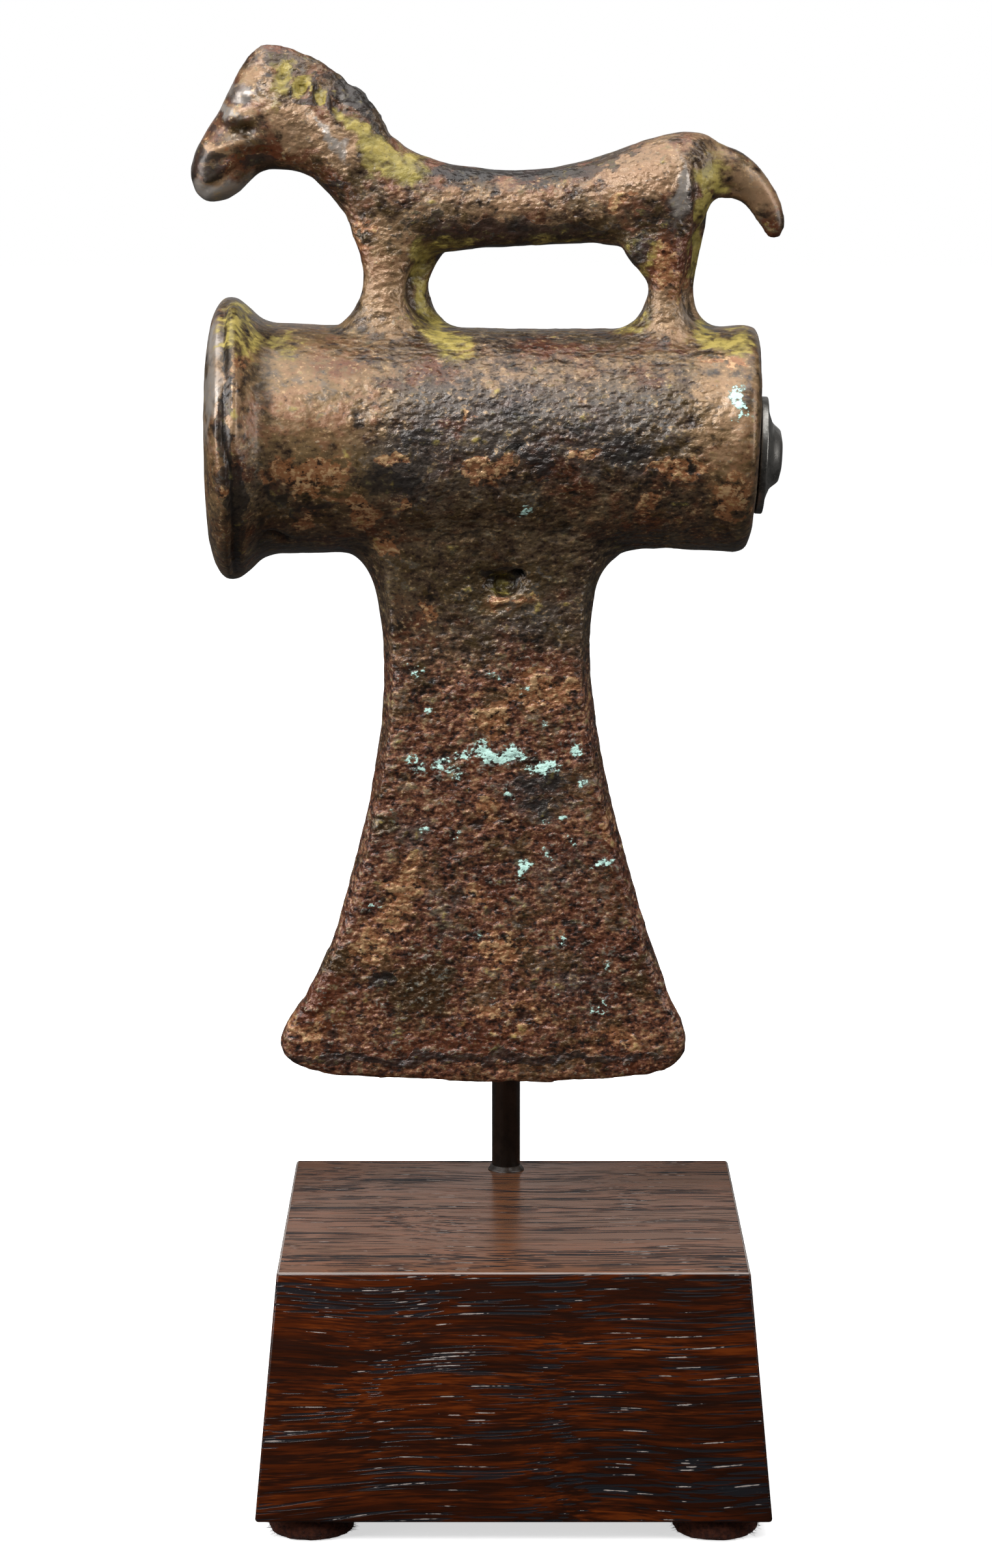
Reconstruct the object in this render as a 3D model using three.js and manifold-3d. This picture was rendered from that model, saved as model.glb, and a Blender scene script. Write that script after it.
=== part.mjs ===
// A Bronze Age shaft-hole axe head, with a small horse cast in one with it, on its display stand.
// Millimetres, +Z up. The horse looks towards -X and the show side faces -Y. The origin is the middle
// of the footprint of the whole object, on the surface that it stands on.
import * as THREE from 'three';
import { mergeVertices } from 'three/addons/utils/BufferGeometryUtils.js';
import Module from 'manifold-3d';

const wasm = await Module();
wasm.setup();

// ---------------------------------------------------------------- driving dimensions, millimetres

const gap = 0.3; // air between pieces that touch

const plinth = { foot: 76.2, top: 69.5, height: 37, arris: 0.5, corner: 0.6 };
const felt = { radius: 6.65, thickness: 3.3, edge: 0.8, reach: 30, sides: 16 };
const socket = { depth: 12 }; // the hole in the plinth that the rod is glued into
const rod = { x: -1, y: 28.9, radius: 2.25, armRadius: 1.5, bend: 8, armBend: 4 };

// The axe's own frame: its origin is on the tube's axis over the middle of the blade.
const axe = { x: -4.4, y: 8.6, height: 155.2 };
const tube = { left: -41.9, right: 41.1, rise: 0.45, waist: 16.85, sides: 48 };
const bore = { leftRadius: 12, rightRadius: 8.75, rightDrop: 2.1, sides: 36 };
const endLean = THREE.MathUtils.degToRad(2.9); // the right end is cut out of square
const blade = { facets: 6, sideDepth: 0.45 }; // the narrow sides are this share of the thickness
const horse = { sides: 18 };
const legs = { foreSkew: 3.4, hindSkew: 1.9, overlap: 0.5, sides: 12 }; // the far legs stand further right
const cap = {
  radius: 8.9, rim: 1.2, boss: 4.5, reach: 3.8, spigot: 8.3, spigotEnd: 7.4, depth: 20, sides: 24,
};

const colours = { bronze: 0x5d4532, rod: 0x1d1714, cap: 0x4b4a48, wood: 0x3a1a10, felt: 0x3a261d };

// ---------------------------------------------------------------- profiles, in the axe's own frame

// Shaft tube and its collared mouth: distance along the axis, radius.
const tubeProfile = [
  [-41.9, 13.2], [-41.6, 16.2], [-40.9, 19], [-39.9, 20.8], [-38.6, 21.6], [-37, 21.3], [-35.2, 19.8],
  [-33.7, 18.3], [-31.8, 17.6], [-26, 17.45], [-12, 17.05], [4, tube.waist], [29, 16.75], [35, 17],
  [38.6, 17.35], [40.4, 16.8], [41.1, 14.8],
];

// Blade: height, left edge, right edge, half thickness, width of the bevel along its sides, and sag of
// the row's middle below its ends. The top rows are inside the tube and spread to meet it.
const bladeRows = [
  [-10, -26, 27, 12.3, 10, 0],
  [-13, -23.6, 24.6, 11, 9, 0],
  [-15.8, -21.2, 22.2, 9.9, 6.5, 0],
  [-18.6, -18.3, 18.7, 9, 3.4, 0],
  [-24, -16.3, 16.8, 7.9, 1.8, 0],
  [-36, -15.35, 16.25, 7, 1.6, 0],
  [-50, -16.7, 18.5, 5.9, 1.6, 0],
  [-64, -19.8, 21.8, 4.6, 1.6, 0.1],
  [-77, -23.6, 25.7, 3.4, 1.6, 0.4],
  [-86, -28, 28.9, 2.6, 1.6, 0.8],
  [-91, -31.3, 31.2, 2.1, 1.5, 1.1],
  [-94.4, -31.5, 31.2, 1.8, 1.4, 1.3],
  [-97, -28.8, 29.2, 1.4, 1.2, 1.5],
  [-98.3, -24.2, 25.4, 0.9, 0.8, 1.6],
];

// Horse, from the muzzle to the rump: distance along, top line, lower line, half width, and how much
// the top of the section is pinched in, as it is at the crest of the neck.
const horseRows = [
  [-44.2, 41.1, 39.9, 0.6, 0],
  [-43.2, 44.1, 37, 3, 0.1],
  [-39.9, 49.5, 36, 3.9, 0.2],
  [-36.8, 55.8, 37.3, 4.2, 0.35],
  [-33.8, 59.5, 40.3, 4.4, 0.45],
  [-30.5, 59.8, 40.7, 4.7, 0.5],
  [-25.8, 57.9, 39.6, 5, 0.5],
  [-21, 54.8, 34.1, 5.3, 0.45],
  [-17, 51.7, 29.2, 5.5, 0.35],
  [-14, 46.5, 28.1, 5.6, 0.2],
  [-9, 43.1, 28.2, 5.6, 0.05],
  [0, 41.2, 29.1, 5.4, 0],
  [8, 41.1, 29.4, 5.5, 0],
  [16, 42.6, 29.8, 6, 0],
  [24, 45.4, 28.8, 6.8, 0],
  [29.5, 46.65, 29, 6.7, 0],
  [31.8, 46.6, 31.2, 5.7, 0],
  [33.6, 46.2, 34, 3.9, 0],
  [35.8, 44.6, 39.5, 1.6, 0],
];

// Leg pairs, each flaring out onto the tube: height, left side, right side, reach to either side.
const foreRows = [
  [14.2, -26.4, -0.8, 9.4],
  [17.2, -23.3, -3.4, 7.4],
  [18.7, -21.3, -6.1, 6.6],
  [21, -19.35, -7.8, 5.9],
  [24.2, -18.35, -8.25, 5.5],
  [28, -18.9, -6.3, 5.4],
  [32, -20.3, -4.5, 5],
  [37, -22, -4, 3.4],
];
const hindRows = [
  [14.2, 15.6, 39.4, 9.6],
  [17.2, 19, 35.8, 7.7],
  [18.7, 22.2, 33.2, 6.9],
  [21, 24, 32, 6.2],
  [24.2, 24.5, 31.85, 5.9],
  [28, 21, 32.8, 6.2],
  [32, 20.5, 33.6, 6.4],
  [37, 22, 34.4, 6],
  [42, 25, 34, 4.4],
];

// Tail: where its middle line runs, with its radius there.
const tailLine = [[30, 40.3, 4.6], [35.6, 40.6, 4.2], [38.7, 39.5, 3.45], [41, 37.6, 2.75],
  [42.7, 34.9, 2.45], [43.6, 32.3, 1.9], [43.4, 30.5, 0.9]];

// Mane: strokes slant down each side of the crest, over the border where the mane meets the neck.
const maneStrokes = { from: [-30, 55.2], to: [-21.8, 50.6], count: 4, width: 0.95, length: 1.9, depth: 1 };
const maneBorder = [[-28.9, 53.4], [-26.2, 49.9], [-21.6, 46.1], [-17.6, 42.2]];

// ---------------------------------------------------------------- shared shape helpers

const smooth = THREE.MathUtils.smoothstep;

// A function that runs a cubic through rows of [place, value, value, ...].
function table(rows) {
  const count = rows[0].length - 1;
  const rising = rows.toSorted((a, b) => a[0] - b[0]);
  const cubic = new THREE.CubicInterpolant(
    Float64Array.from(rising, (row) => row[0]),
    Float64Array.from(rising.flatMap((row) => row.slice(1))),
    count,
    new Float64Array(count),
  );
  return (place) => Array.from(cubic.evaluate(place));
}

// The places of the rows, with each stretch between two of them split into steps.
function stations(rows, steps) {
  const places = [];
  for (let i = 0; i + 1 < rows.length; i += 1) {
    for (let s = 0; s < steps; s += 1) {
      places.push(THREE.MathUtils.lerp(rows[i][0], rows[i + 1][0], s / steps));
    }
  }
  return [...places, rows.at(-1)[0]];
}

// A closed skin over rings of points, with a fan over each end.
function loft(rings) {
  const sides = rings[0].length;
  const points = rings.flat();
  const faces = [];
  for (let r = 0; r + 1 < rings.length; r += 1) {
    for (let s = 0; s < sides; s += 1) {
      const a = r * sides + s;
      const b = r * sides + (s + 1) % sides;
      faces.push(a, b, a + sides, b, b + sides, a + sides);
    }
  }
  for (const end of [0, rings.length - 1]) {
    const hub = points.length;
    const middle = rings[end].reduce((sum, point) => sum.add(point), new THREE.Vector3());
    points.push(middle.divideScalar(sides));
    for (let s = 0; s < sides; s += 1) {
      const a = end * sides + s;
      const b = end * sides + (s + 1) % sides;
      faces.push(...(end === 0 ? [hub, b, a] : [hub, a, b]));
    }
  }
  const geometry = new THREE.BufferGeometry().setFromPoints(points);
  geometry.setIndex(faces);
  return geometry;
}

// The point at an angle on a superellipse: 2 is an ellipse, and more is squarer.
function roundedPoint(angle, power) {
  const bend = (value) => Math.sign(value) * Math.abs(value) ** (2 / power);
  return [bend(Math.cos(angle)), bend(Math.sin(angle))];
}

// A bar along points, with a radius at each. It is round, or narrower across Y.
function bar(points, radii, sides, narrow = 1) {
  const rings = [];
  let across = new THREE.Vector3(0, 1, 0);
  points.forEach((point, i) => {
    const before = points[Math.max(i - 1, 0)];
    const after = points[Math.min(i + 1, points.length - 1)];
    const along = after.clone().sub(before).normalize();
    if (i === 0 && Math.abs(along.y) > 0.9) across = new THREE.Vector3(1, 0, 0);
    across = across.clone().addScaledVector(along, -across.dot(along)).normalize();
    const up = along.clone().cross(across);
    rings.push(Array.from({ length: sides }, (_, s) => {
      const angle = 2 * Math.PI * s / sides;
      return point.clone()
        .addScaledVector(across, narrow * radii[i] * Math.cos(angle))
        .addScaledVector(up, radii[i] * Math.sin(angle));
    }));
  });
  return loft(rings);
}

// A manifold solid from any closed geometry, its faces turned outwards.
function solid(geometry) {
  const bare = geometry.clone();
  bare.deleteAttribute('normal');
  bare.deleteAttribute('uv');
  const merged = mergeVertices(bare, 1e-4);
  const place = merged.attributes.position;
  const corner = (i) => new THREE.Vector3().fromBufferAttribute(place, i);
  const faces = [];
  let volume = 0;
  for (let t = 0; t < merged.index.count; t += 3) {
    const [a, b, c] = [0, 1, 2].map((k) => merged.index.getX(t + k));
    if (a === b || b === c || a === c) continue;
    faces.push([a, b, c]);
    volume += corner(a).dot(corner(b).cross(corner(c)));
  }
  const turned = volume > 0 ? faces : faces.map(([a, b, c]) => [a, c, b]);
  return new wasm.Manifold(new wasm.Mesh({
    numProp: 3,
    vertProperties: Float32Array.from(place.array),
    triVerts: Uint32Array.from(turned.flat()),
  }));
}

function geometryOf(manifold) {
  const mesh = manifold.getMesh();
  const geometry = new THREE.BufferGeometry();
  geometry.setAttribute('position', new THREE.BufferAttribute(mesh.vertProperties, 3));
  geometry.setIndex(new THREE.BufferAttribute(mesh.triVerts, 1));
  geometry.computeVertexNormals();
  return geometry;
}

function ellipsoid([x, y, z], [rx, ry, rz], lean = 0) {
  const geometry = new THREE.SphereGeometry(1, 8, 6).scale(rx, ry, rz).rotateY(lean);
  return solid(geometry.translate(x, y, z));
}

function mesh(name, geometry, color, roughness, metalness) {
  const material = new THREE.MeshStandardMaterial({ color, roughness, metalness });
  const piece = new THREE.Mesh(geometry, material);
  piece.name = name;
  return piece;
}

// ---------------------------------------------------------------- the axe head

// The tube is turned about X. Its right end leans, and the whole is a little above the axis.
function shaftTube() {
  const outline = [[tube.left, 0], ...tubeProfile, [tube.right, 0]];
  const turned = new THREE.LatheGeometry(outline.map(([x, r]) => new THREE.Vector2(r, x)), tube.sides);
  turned.rotateZ(-Math.PI / 2);
  const place = turned.attributes.position;
  for (let i = 0; i < place.count; i += 1) {
    const x = place.getX(i);
    place.setX(i, x + Math.tan(endLean) * place.getZ(i) * smooth(x, 30, tube.right));
    place.setZ(i, place.getZ(i) + tube.rise);
  }
  return solid(turned);
}

// The shaft hole runs right through, and is narrower and lower at the right end.
function shaftHole() {
  const past = 4;
  const grow = (bore.leftRadius - bore.rightRadius) / (tube.right - tube.left);
  const fall = bore.rightDrop / (tube.right - tube.left);
  const ring = (x) => Array.from({ length: bore.sides }, (_, s) => {
    const angle = 2 * Math.PI * s / bore.sides;
    const radius = bore.leftRadius - grow * (x - tube.left);
    const drop = fall * (x - tube.left);
    return new THREE.Vector3(x, radius * Math.cos(angle), radius * Math.sin(angle) - drop);
  });
  return solid(loft([ring(tube.left - past), ring(tube.right + past)]));
}

// A flat blade with bevelled sides, thinning to its rounded cutting edge.
function bladeSolid() {
  const at = table(bladeRows);
  const rings = stations(bladeRows, 2).map((z) => {
    const [left, right, half, bevel, sag] = at(z);
    const middle = (left + right) / 2;
    const reach = (right - left) / 2;
    const points = [];
    for (const side of [-1, 1]) {
      for (let i = 0; i <= blade.facets; i += 1) {
        const across = side * (1 - 2 * i / blade.facets);
        const low = sag * (1 - across ** 2) * (1 + 0.4 * across);
        points.push(new THREE.Vector3(middle + across * (reach - bevel), side * half, z - low));
      }
      const edge = middle - side * reach;
      points.push(new THREE.Vector3(edge, side * half * blade.sideDepth, z));
      points.push(new THREE.Vector3(edge, -side * half * blade.sideDepth, z));
    }
    return points;
  });
  return solid(loft(rings));
}

function horseBody() {
  const at = table(horseRows);
  const rings = stations(horseRows, 2).map((x) => {
    const [top, bottom, half, pinch] = at(x);
    return Array.from({ length: horse.sides }, (_, s) => {
      const [across, up] = roundedPoint(2 * Math.PI * s / horse.sides, 2.15);
      const narrowed = across * half * (1 - pinch * smooth(up, 0, 1));
      return new THREE.Vector3(x, narrowed, (top + bottom) / 2 + up * (top - bottom) / 2);
    });
  });
  return solid(loft(rings));
}

// How far the tube's surface has fallen below its top, at a distance to the side.
function tubeFall(y) {
  return tube.waist - Math.sqrt(tube.waist ** 2 - y ** 2);
}

// The near leg (side -1) and the far leg (side 1) of a pair overlap along the middle.
function leg(rows, skew, side) {
  const at = table(rows);
  const rings = stations(rows, 2).map((z) => {
    const [pairLeft, pairRight, reach] = at(z);
    const left = side < 0 ? pairLeft : pairLeft + skew;
    const right = side < 0 ? pairRight - skew : pairRight;
    const depth = (reach + legs.overlap) / 2;
    return Array.from({ length: legs.sides }, (_, s) => {
      const [along, across] = roundedPoint(2 * Math.PI * s / legs.sides, 2.4);
      const x = (left + right) / 2 + along * (right - left) / 2;
      const y = side * (reach - depth) + across * depth;
      return new THREE.Vector3(x, y, z - tubeFall(y) * (1 - smooth(z, 18, 25)));
    });
  });
  return solid(loft(rings));
}

function tail() {
  const line = new THREE.CatmullRomCurve3(tailLine.map(([x, z]) => new THREE.Vector3(x, 0, z)));
  const steps = 2 * (tailLine.length - 1);
  const points = Array.from({ length: steps + 1 }, (_, i) => line.getPoint(i / steps));
  const radiusAt = table(tailLine.map(([, , radius], i) => [i / (tailLine.length - 1), radius]));
  return solid(bar(points, points.map((_, i) => radiusAt(i / steps)[0]), 14, 0.8));
}

// How far the horse's side stands out from its middle plane, at a place on it.
function horseSide(x, z) {
  const [top, bottom, half, pinch] = table(horseRows)(x);
  const up = THREE.MathUtils.clamp((2 * z - top - bottom) / (top - bottom), -1, 1);
  return half * Math.sqrt(1 - up * up) * (1 - pinch * smooth(up, 0, 1));
}

// Eyes under a brow, the slit of the mouth, and the carved mane, the same on both sides.
function carving(side) {
  const on = (x, z, inwards = 0) => [x, side * (horseSide(x, z) - inwards), z];
  const slope = THREE.MathUtils.degToRad(35);
  const raised = [
    ellipsoid(on(-37.7, 48.6, 0.4), [1.9, 1.3, 1.2], -slope),
    ellipsoid(on(-36.3, 44.8, 0.5), [2, 1.1, 0.8], -slope / 2),
  ];
  const sunk = [
    ellipsoid(on(-35.4, 46.8), [1.8, 0.9, 1.1], -slope / 2),
    ellipsoid(on(-39.9, 39.4), [2.9, 0.9, 0.4], -slope),
  ];
  const { from, to, count, width, length, depth } = maneStrokes;
  for (let i = 0; i < count; i += 1) {
    const x = THREE.MathUtils.lerp(from[0], to[0], i / (count - 1));
    const z = THREE.MathUtils.lerp(from[1], to[1], i / (count - 1));
    sunk.push(ellipsoid(on(x, z), [width, depth, length], slope / 3));
  }
  const border = new THREE.CatmullRomCurve3(
    maneBorder.map(([x, z]) => new THREE.Vector3(...on(x, z, -0.35))));
  const points = border.getPoints(8);
  sunk.push(solid(bar(points, points.map((_, i) => (i % 8 === 0 ? 0.5 : 0.85)), 6)));
  return { raised, sunk };
}

// The hollow that a gas bubble left in the casting, high on the blade's show side.
function castingFlaw() {
  const hollow = ellipsoid([3.1, -9, -21], [2.9, 2.9, 1.7], -0.15);
  return hollow.add(ellipsoid([1.2, -9, -20.2], [1.8, 1.9, 1.2]));
}

function axeHead() {
  const near = carving(-1);
  const far = carving(1);
  const cast = [shaftTube(), bladeSolid(), horseBody(), tail(), ...near.raised, ...far.raised];
  for (const [rows, skew] of [[foreRows, legs.foreSkew], [hindRows, legs.hindSkew]]) {
    cast.push(leg(rows, skew, -1), leg(rows, skew, 1));
  }
  const whole = cast.reduce((sum, part) => sum.add(part));
  const cuts = [shaftHole(), castingFlaw(), ...near.sunk, ...far.sunk];
  return geometryOf(cuts.reduce((sum, part) => sum.subtract(part), whole));
}

// ---------------------------------------------------------------- the stand

// The domed plug in the tube's right end, turned about its own axis.
function endCap() {
  const { radius, rim, boss, reach, spigot, spigotEnd, depth } = cap;
  const face = new THREE.SplineCurve([
    new THREE.Vector2(radius - 0.25, rim),
    new THREE.Vector2((radius + boss) / 2, rim + 0.45),
    new THREE.Vector2(boss + 0.4, rim + 1.3),
    new THREE.Vector2(boss - 0.7, reach - 0.4),
    new THREE.Vector2(boss / 2, reach),
  ]);
  const outline = [
    new THREE.Vector2(0, -depth),
    new THREE.Vector2(spigotEnd, -depth),
    new THREE.Vector2(spigot, -1),
    new THREE.Vector2(spigot, 0),
    new THREE.Vector2(radius - 0.2, 0),
    new THREE.Vector2(radius, 0.2),
    new THREE.Vector2(radius, rim - 0.2),
    ...face.getPoints(6),
    new THREE.Vector2(0, reach),
  ];
  const turned = new THREE.LatheGeometry(outline, cap.sides);
  return geometryOf(solid(turned.rotateZ(-Math.PI / 2)));
}

// A path with its square corners rounded, each to a bend radius of its own.
function bentPath(corners, bends) {
  const points = [corners[0]];
  for (let i = 1; i + 1 < corners.length; i += 1) {
    const inwards = corners[i - 1].clone().sub(corners[i]).normalize();
    const onwards = corners[i + 1].clone().sub(corners[i]).normalize();
    const bend = bends[i - 1];
    const hub = corners[i].clone().addScaledVector(inwards, bend).addScaledVector(onwards, bend);
    for (let s = 0; s <= 6; s += 1) {
      const turn = Math.PI / 2 * s / 6;
      points.push(hub.clone()
        .addScaledVector(onwards, -bend * Math.cos(turn))
        .addScaledVector(inwards, -bend * Math.sin(turn)));
    }
  }
  return [...points, corners.at(-1)];
}

// The rod stands behind the blade, runs along the back of the tube and comes round to the cap. Its
// bent arm is drawn down thinner.
function mountRod(capMiddle, plinthTop) {
  const armX = capMiddle.x + cap.rim + 0.4;
  const points = bentPath([
    new THREE.Vector3(rod.x, rod.y, plinthTop - socket.depth + gap),
    new THREE.Vector3(rod.x, rod.y, capMiddle.z),
    new THREE.Vector3(armX, rod.y, capMiddle.z),
    new THREE.Vector3(armX, capMiddle.y + cap.radius + gap, capMiddle.z),
  ], [rod.bend, rod.armBend]);
  const radii = points.map((point) => {
    const drawn = smooth(point.x, rod.x, armX - rod.armBend);
    return THREE.MathUtils.lerp(rod.radius, rod.armRadius, drawn);
  });
  return geometryOf(solid(bar(points, radii, 12)));
}

// A square block with a taper, its corners and arrises broken, and a hole for the rod.
function plinthBlock() {
  const ring = (z, half) => {
    const c = plinth.corner;
    const corners = [[1, 1], [-1, 1], [-1, -1], [1, -1]];
    return corners.flatMap(([sx, sy]) => {
      const pair = [[sx * half, sy * (half - c)], [sx * (half - c), sy * half]];
      if (sx * sy < 0) pair.reverse();
      return pair.map(([x, y]) => new THREE.Vector3(x, y, z));
    });
  };
  const halfAt = (z) => THREE.MathUtils.lerp(plinth.foot, plinth.top, z / plinth.height) / 2;
  const { arris, height } = plinth;
  const block = solid(loft([
    ring(0, halfAt(0) - arris), ring(arris, halfAt(arris)),
    ring(height - arris, halfAt(height - arris)), ring(height, halfAt(height) - arris),
  ]));
  const hole = new THREE.CylinderGeometry(rod.radius + gap, rod.radius + gap, 2 * socket.depth, 24);
  hole.rotateX(Math.PI / 2).translate(rod.x, rod.y, height);
  return geometryOf(block.subtract(solid(hole)));
}

function feltPad() {
  const { radius, thickness, edge } = felt;
  const outline = [
    [0, 0], [radius - edge, 0], [radius, edge], [radius, thickness - edge],
    [radius - edge, thickness], [0, thickness],
  ];
  const turned = new THREE.LatheGeometry(outline.map(([r, z]) => new THREE.Vector2(r, z)), felt.sides);
  return geometryOf(solid(turned.rotateX(Math.PI / 2)));
}

// ---------------------------------------------------------------- the whole object

function build() {
  const whole = new THREE.Group();
  const stand = new THREE.Group();
  stand.position.z = felt.thickness + gap; // the plinth's underside rests on the felt
  whole.add(stand);

  stand.add(mesh('plinth', plinthBlock(), colours.wood, 0.3, 0));
  for (const [depthName, sy] of [['front', -1], ['back', 1]]) {
    for (const [sideName, sx] of [['left', -1], ['right', 1]]) {
      const pad = mesh(`felt_pad_${depthName}_${sideName}`, feltPad(), colours.felt, 0.95, 0);
      pad.position.set(sx * felt.reach, sy * felt.reach, 0);
      whole.add(pad);
    }
  }

  const axeGroup = new THREE.Group();
  axeGroup.position.set(axe.x, axe.y, axe.height);
  stand.add(axeGroup);
  axeGroup.add(mesh('axe_head', axeHead(), colours.bronze, 0.5, 0.8));

  const capGroup = new THREE.Group();
  const capDrop = bore.rightDrop;
  capGroup.position.set(tube.right + gap - Math.tan(endLean) * capDrop, 0, -capDrop);
  capGroup.rotation.y = endLean;
  axeGroup.add(capGroup);
  capGroup.add(mesh('end_cap', endCap(), colours.cap, 0.35, 0.9));

  const capMiddle = capGroup.position.clone().add(axeGroup.position);
  stand.add(mesh('mount_rod', mountRod(capMiddle, plinth.height), colours.rod, 0.5, 0.6));

  const box = new THREE.Box3().setFromObject(whole, true);
  const middle = box.getCenter(new THREE.Vector3());
  whole.position.set(-middle.x, -middle.y, -box.min.z);
  return whole;
}

export default build();
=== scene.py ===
"""Looks for a Bronze Age shaft-hole axe head with a small horse, on its display stand.

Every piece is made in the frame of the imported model, in metres, and rides on its one body.
"""

import math

import bmesh
import bpy
import numpy as np
from mathutils import Matrix, Vector, kdtree, noise


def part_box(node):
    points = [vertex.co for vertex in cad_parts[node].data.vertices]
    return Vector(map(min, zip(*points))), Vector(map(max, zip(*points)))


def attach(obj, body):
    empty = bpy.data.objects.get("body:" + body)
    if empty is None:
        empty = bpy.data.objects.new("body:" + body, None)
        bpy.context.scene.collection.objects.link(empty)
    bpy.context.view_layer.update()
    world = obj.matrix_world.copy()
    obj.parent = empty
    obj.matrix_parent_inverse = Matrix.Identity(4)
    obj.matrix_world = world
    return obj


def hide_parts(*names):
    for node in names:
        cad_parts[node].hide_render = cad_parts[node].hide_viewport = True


bl_info = {
    "name": "Axe Head on a Stand",
    "version": (1, 0, 0),
    "blender": (4, 5, 0),
    "location": "View3D > Sidebar > Axe",
    "description": "Dresses a cast bronze shaft-hole axe head and its display stand",
    "category": "Add Mesh",
}

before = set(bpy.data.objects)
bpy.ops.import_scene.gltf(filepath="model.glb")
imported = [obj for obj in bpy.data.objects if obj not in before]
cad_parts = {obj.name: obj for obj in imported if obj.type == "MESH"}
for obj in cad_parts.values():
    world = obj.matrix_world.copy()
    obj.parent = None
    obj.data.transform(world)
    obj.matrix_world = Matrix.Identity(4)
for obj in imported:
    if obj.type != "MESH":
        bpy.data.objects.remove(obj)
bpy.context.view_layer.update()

MM = 0.001  # one millimetre in metres
FIBRE = 0.035 * MM  # radius of a felt fibre at its root; real ones are finer and wouldn't show
BODY = "root"


# ------------------------------------------------------------------ places, from the frame

AXE_LOW, AXE_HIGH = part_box("axe_head")
PLINTH_LOW, PLINTH_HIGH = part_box("plinth")
CAP_LOW, CAP_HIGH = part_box("end_cap")
ROD_LOW, ROD_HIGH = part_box("mount_rod")
PADS = [name for name in sorted(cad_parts) if name.startswith("felt_pad")]

MUZZLE_X = -44.2 * MM  # from the axe's own origin, on the shaft axis over the middle of the blade
POLL_Z = 59.85 * MM
AXE_ORIGIN = np.array([
    AXE_LOW.x - MUZZLE_X,
    (AXE_LOW.y + AXE_HIGH.y) / 2,
    AXE_HIGH.z - POLL_Z,
])


# ------------------------------------------------------------------ colour and nodes

def linear(hex_colour):
    """The linear red, green, blue of an sRGB hex colour."""
    parts = [int(hex_colour[i:i + 2], 16) / 255 for i in (1, 3, 5)]
    return tuple(c / 12.92 if c <= 0.04045 else ((c + 0.055) / 1.055) ** 2.4 for c in parts)


def rgba(colour):
    """A colour with full alpha, from a hex text or a linear triple."""
    return (*(linear(colour) if isinstance(colour, str) else tuple(colour)), 1.0)


def feed(tree, node, links):
    """Gives a node's inputs their values, or links them to sockets."""
    for name, value in links.items():
        if isinstance(value, bpy.types.NodeSocket):
            tree.links.new(value, node.inputs[name])
        else:
            node.inputs[name].default_value = value


def add_node(tree, kind, settings=None, links=None):
    """Adds a node. Its settings are properties, its links are values or sockets for its inputs."""
    node = tree.nodes.new(kind)
    for name, value in (settings or {}).items():
        if name == "stops":
            ramp = node.color_ramp
            while len(ramp.elements) < len(value):
                ramp.elements.new(0.5)
            for stop, (place, colour) in zip(ramp.elements, value):
                stop.position = place
                stop.color = rgba(colour)
        else:
            setattr(node, name, value)
    feed(tree, node, links or {})
    return node


def new_material(name):
    """A material with a bare Principled shader on its output. Returns it, its tree and the shader."""
    material = bpy.data.materials.new(name)
    material.use_nodes = True
    tree = material.node_tree
    tree.nodes.clear()
    shader = add_node(tree, "ShaderNodeBsdfPrincipled")
    add_node(tree, "ShaderNodeOutputMaterial", links={"Surface": shader.outputs["BSDF"]})
    return material, tree, shader


def named_values(settings):
    """The values of a property group, by name."""
    return {name: getattr(settings, name) for name in settings.bl_rna.properties.keys()}


def place_in_mm(tree, pull=(1.0, 1.0, 1.0), turn=0.0):
    """Object coordinates in millimetres, so that pattern sizes read as real ones. Pull under 1 draws a
    pattern out along that axis."""
    coordinates = add_node(tree, "ShaderNodeTexCoord")
    return add_node(tree, "ShaderNodeMapping", links={
        "Vector": coordinates.outputs["Object"], "Rotation": (0.0, turn, 0.0),
        "Scale": tuple(share / MM for share in pull),
    }).outputs["Vector"]


def fields_of(tree, place, noises, attributes=()):
    """The fields that a material's layers read: noises by size in millimetres, and painted attributes."""
    fields = {}
    for name, (size, detail, roughness, distortion, shift) in noises.items():
        moved = add_node(tree, "ShaderNodeVectorMath", {"operation": "ADD"}, {0: place, 1: (shift,) * 3})
        fields[name] = add_node(tree, "ShaderNodeTexNoise", links={
            "Vector": moved.outputs[0], "Scale": 1 / size, "Detail": detail, "Roughness": roughness,
            "Distortion": distortion,
        }).outputs["Fac"]
    for name in attributes:
        fields[name] = add_node(tree, "ShaderNodeAttribute", {"attribute_name": name}).outputs["Fac"]
    return fields


def weighed(tree, fields, weights):
    """A weighted sum of fields."""
    total = 0.0
    for name, weight in weights.items():
        total = add_node(tree, "ShaderNodeMath", {"operation": "MULTIPLY_ADD"}, {
            0: fields[name], 1: weight, 2: total}).outputs[0]
    return total


def mask_of(tree, fields, weights, span, ends=(0.0, 1.0)):
    """A weighted sum of fields, run smoothly between two ends as it crosses a span."""
    return add_node(tree, "ShaderNodeMapRange", {"interpolation_type": "SMOOTHSTEP"}, {
        "Value": weighed(tree, fields, weights), "From Min": span[0], "From Max": span[1],
        "To Min": ends[0], "To Max": ends[1]}).outputs[0]


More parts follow.
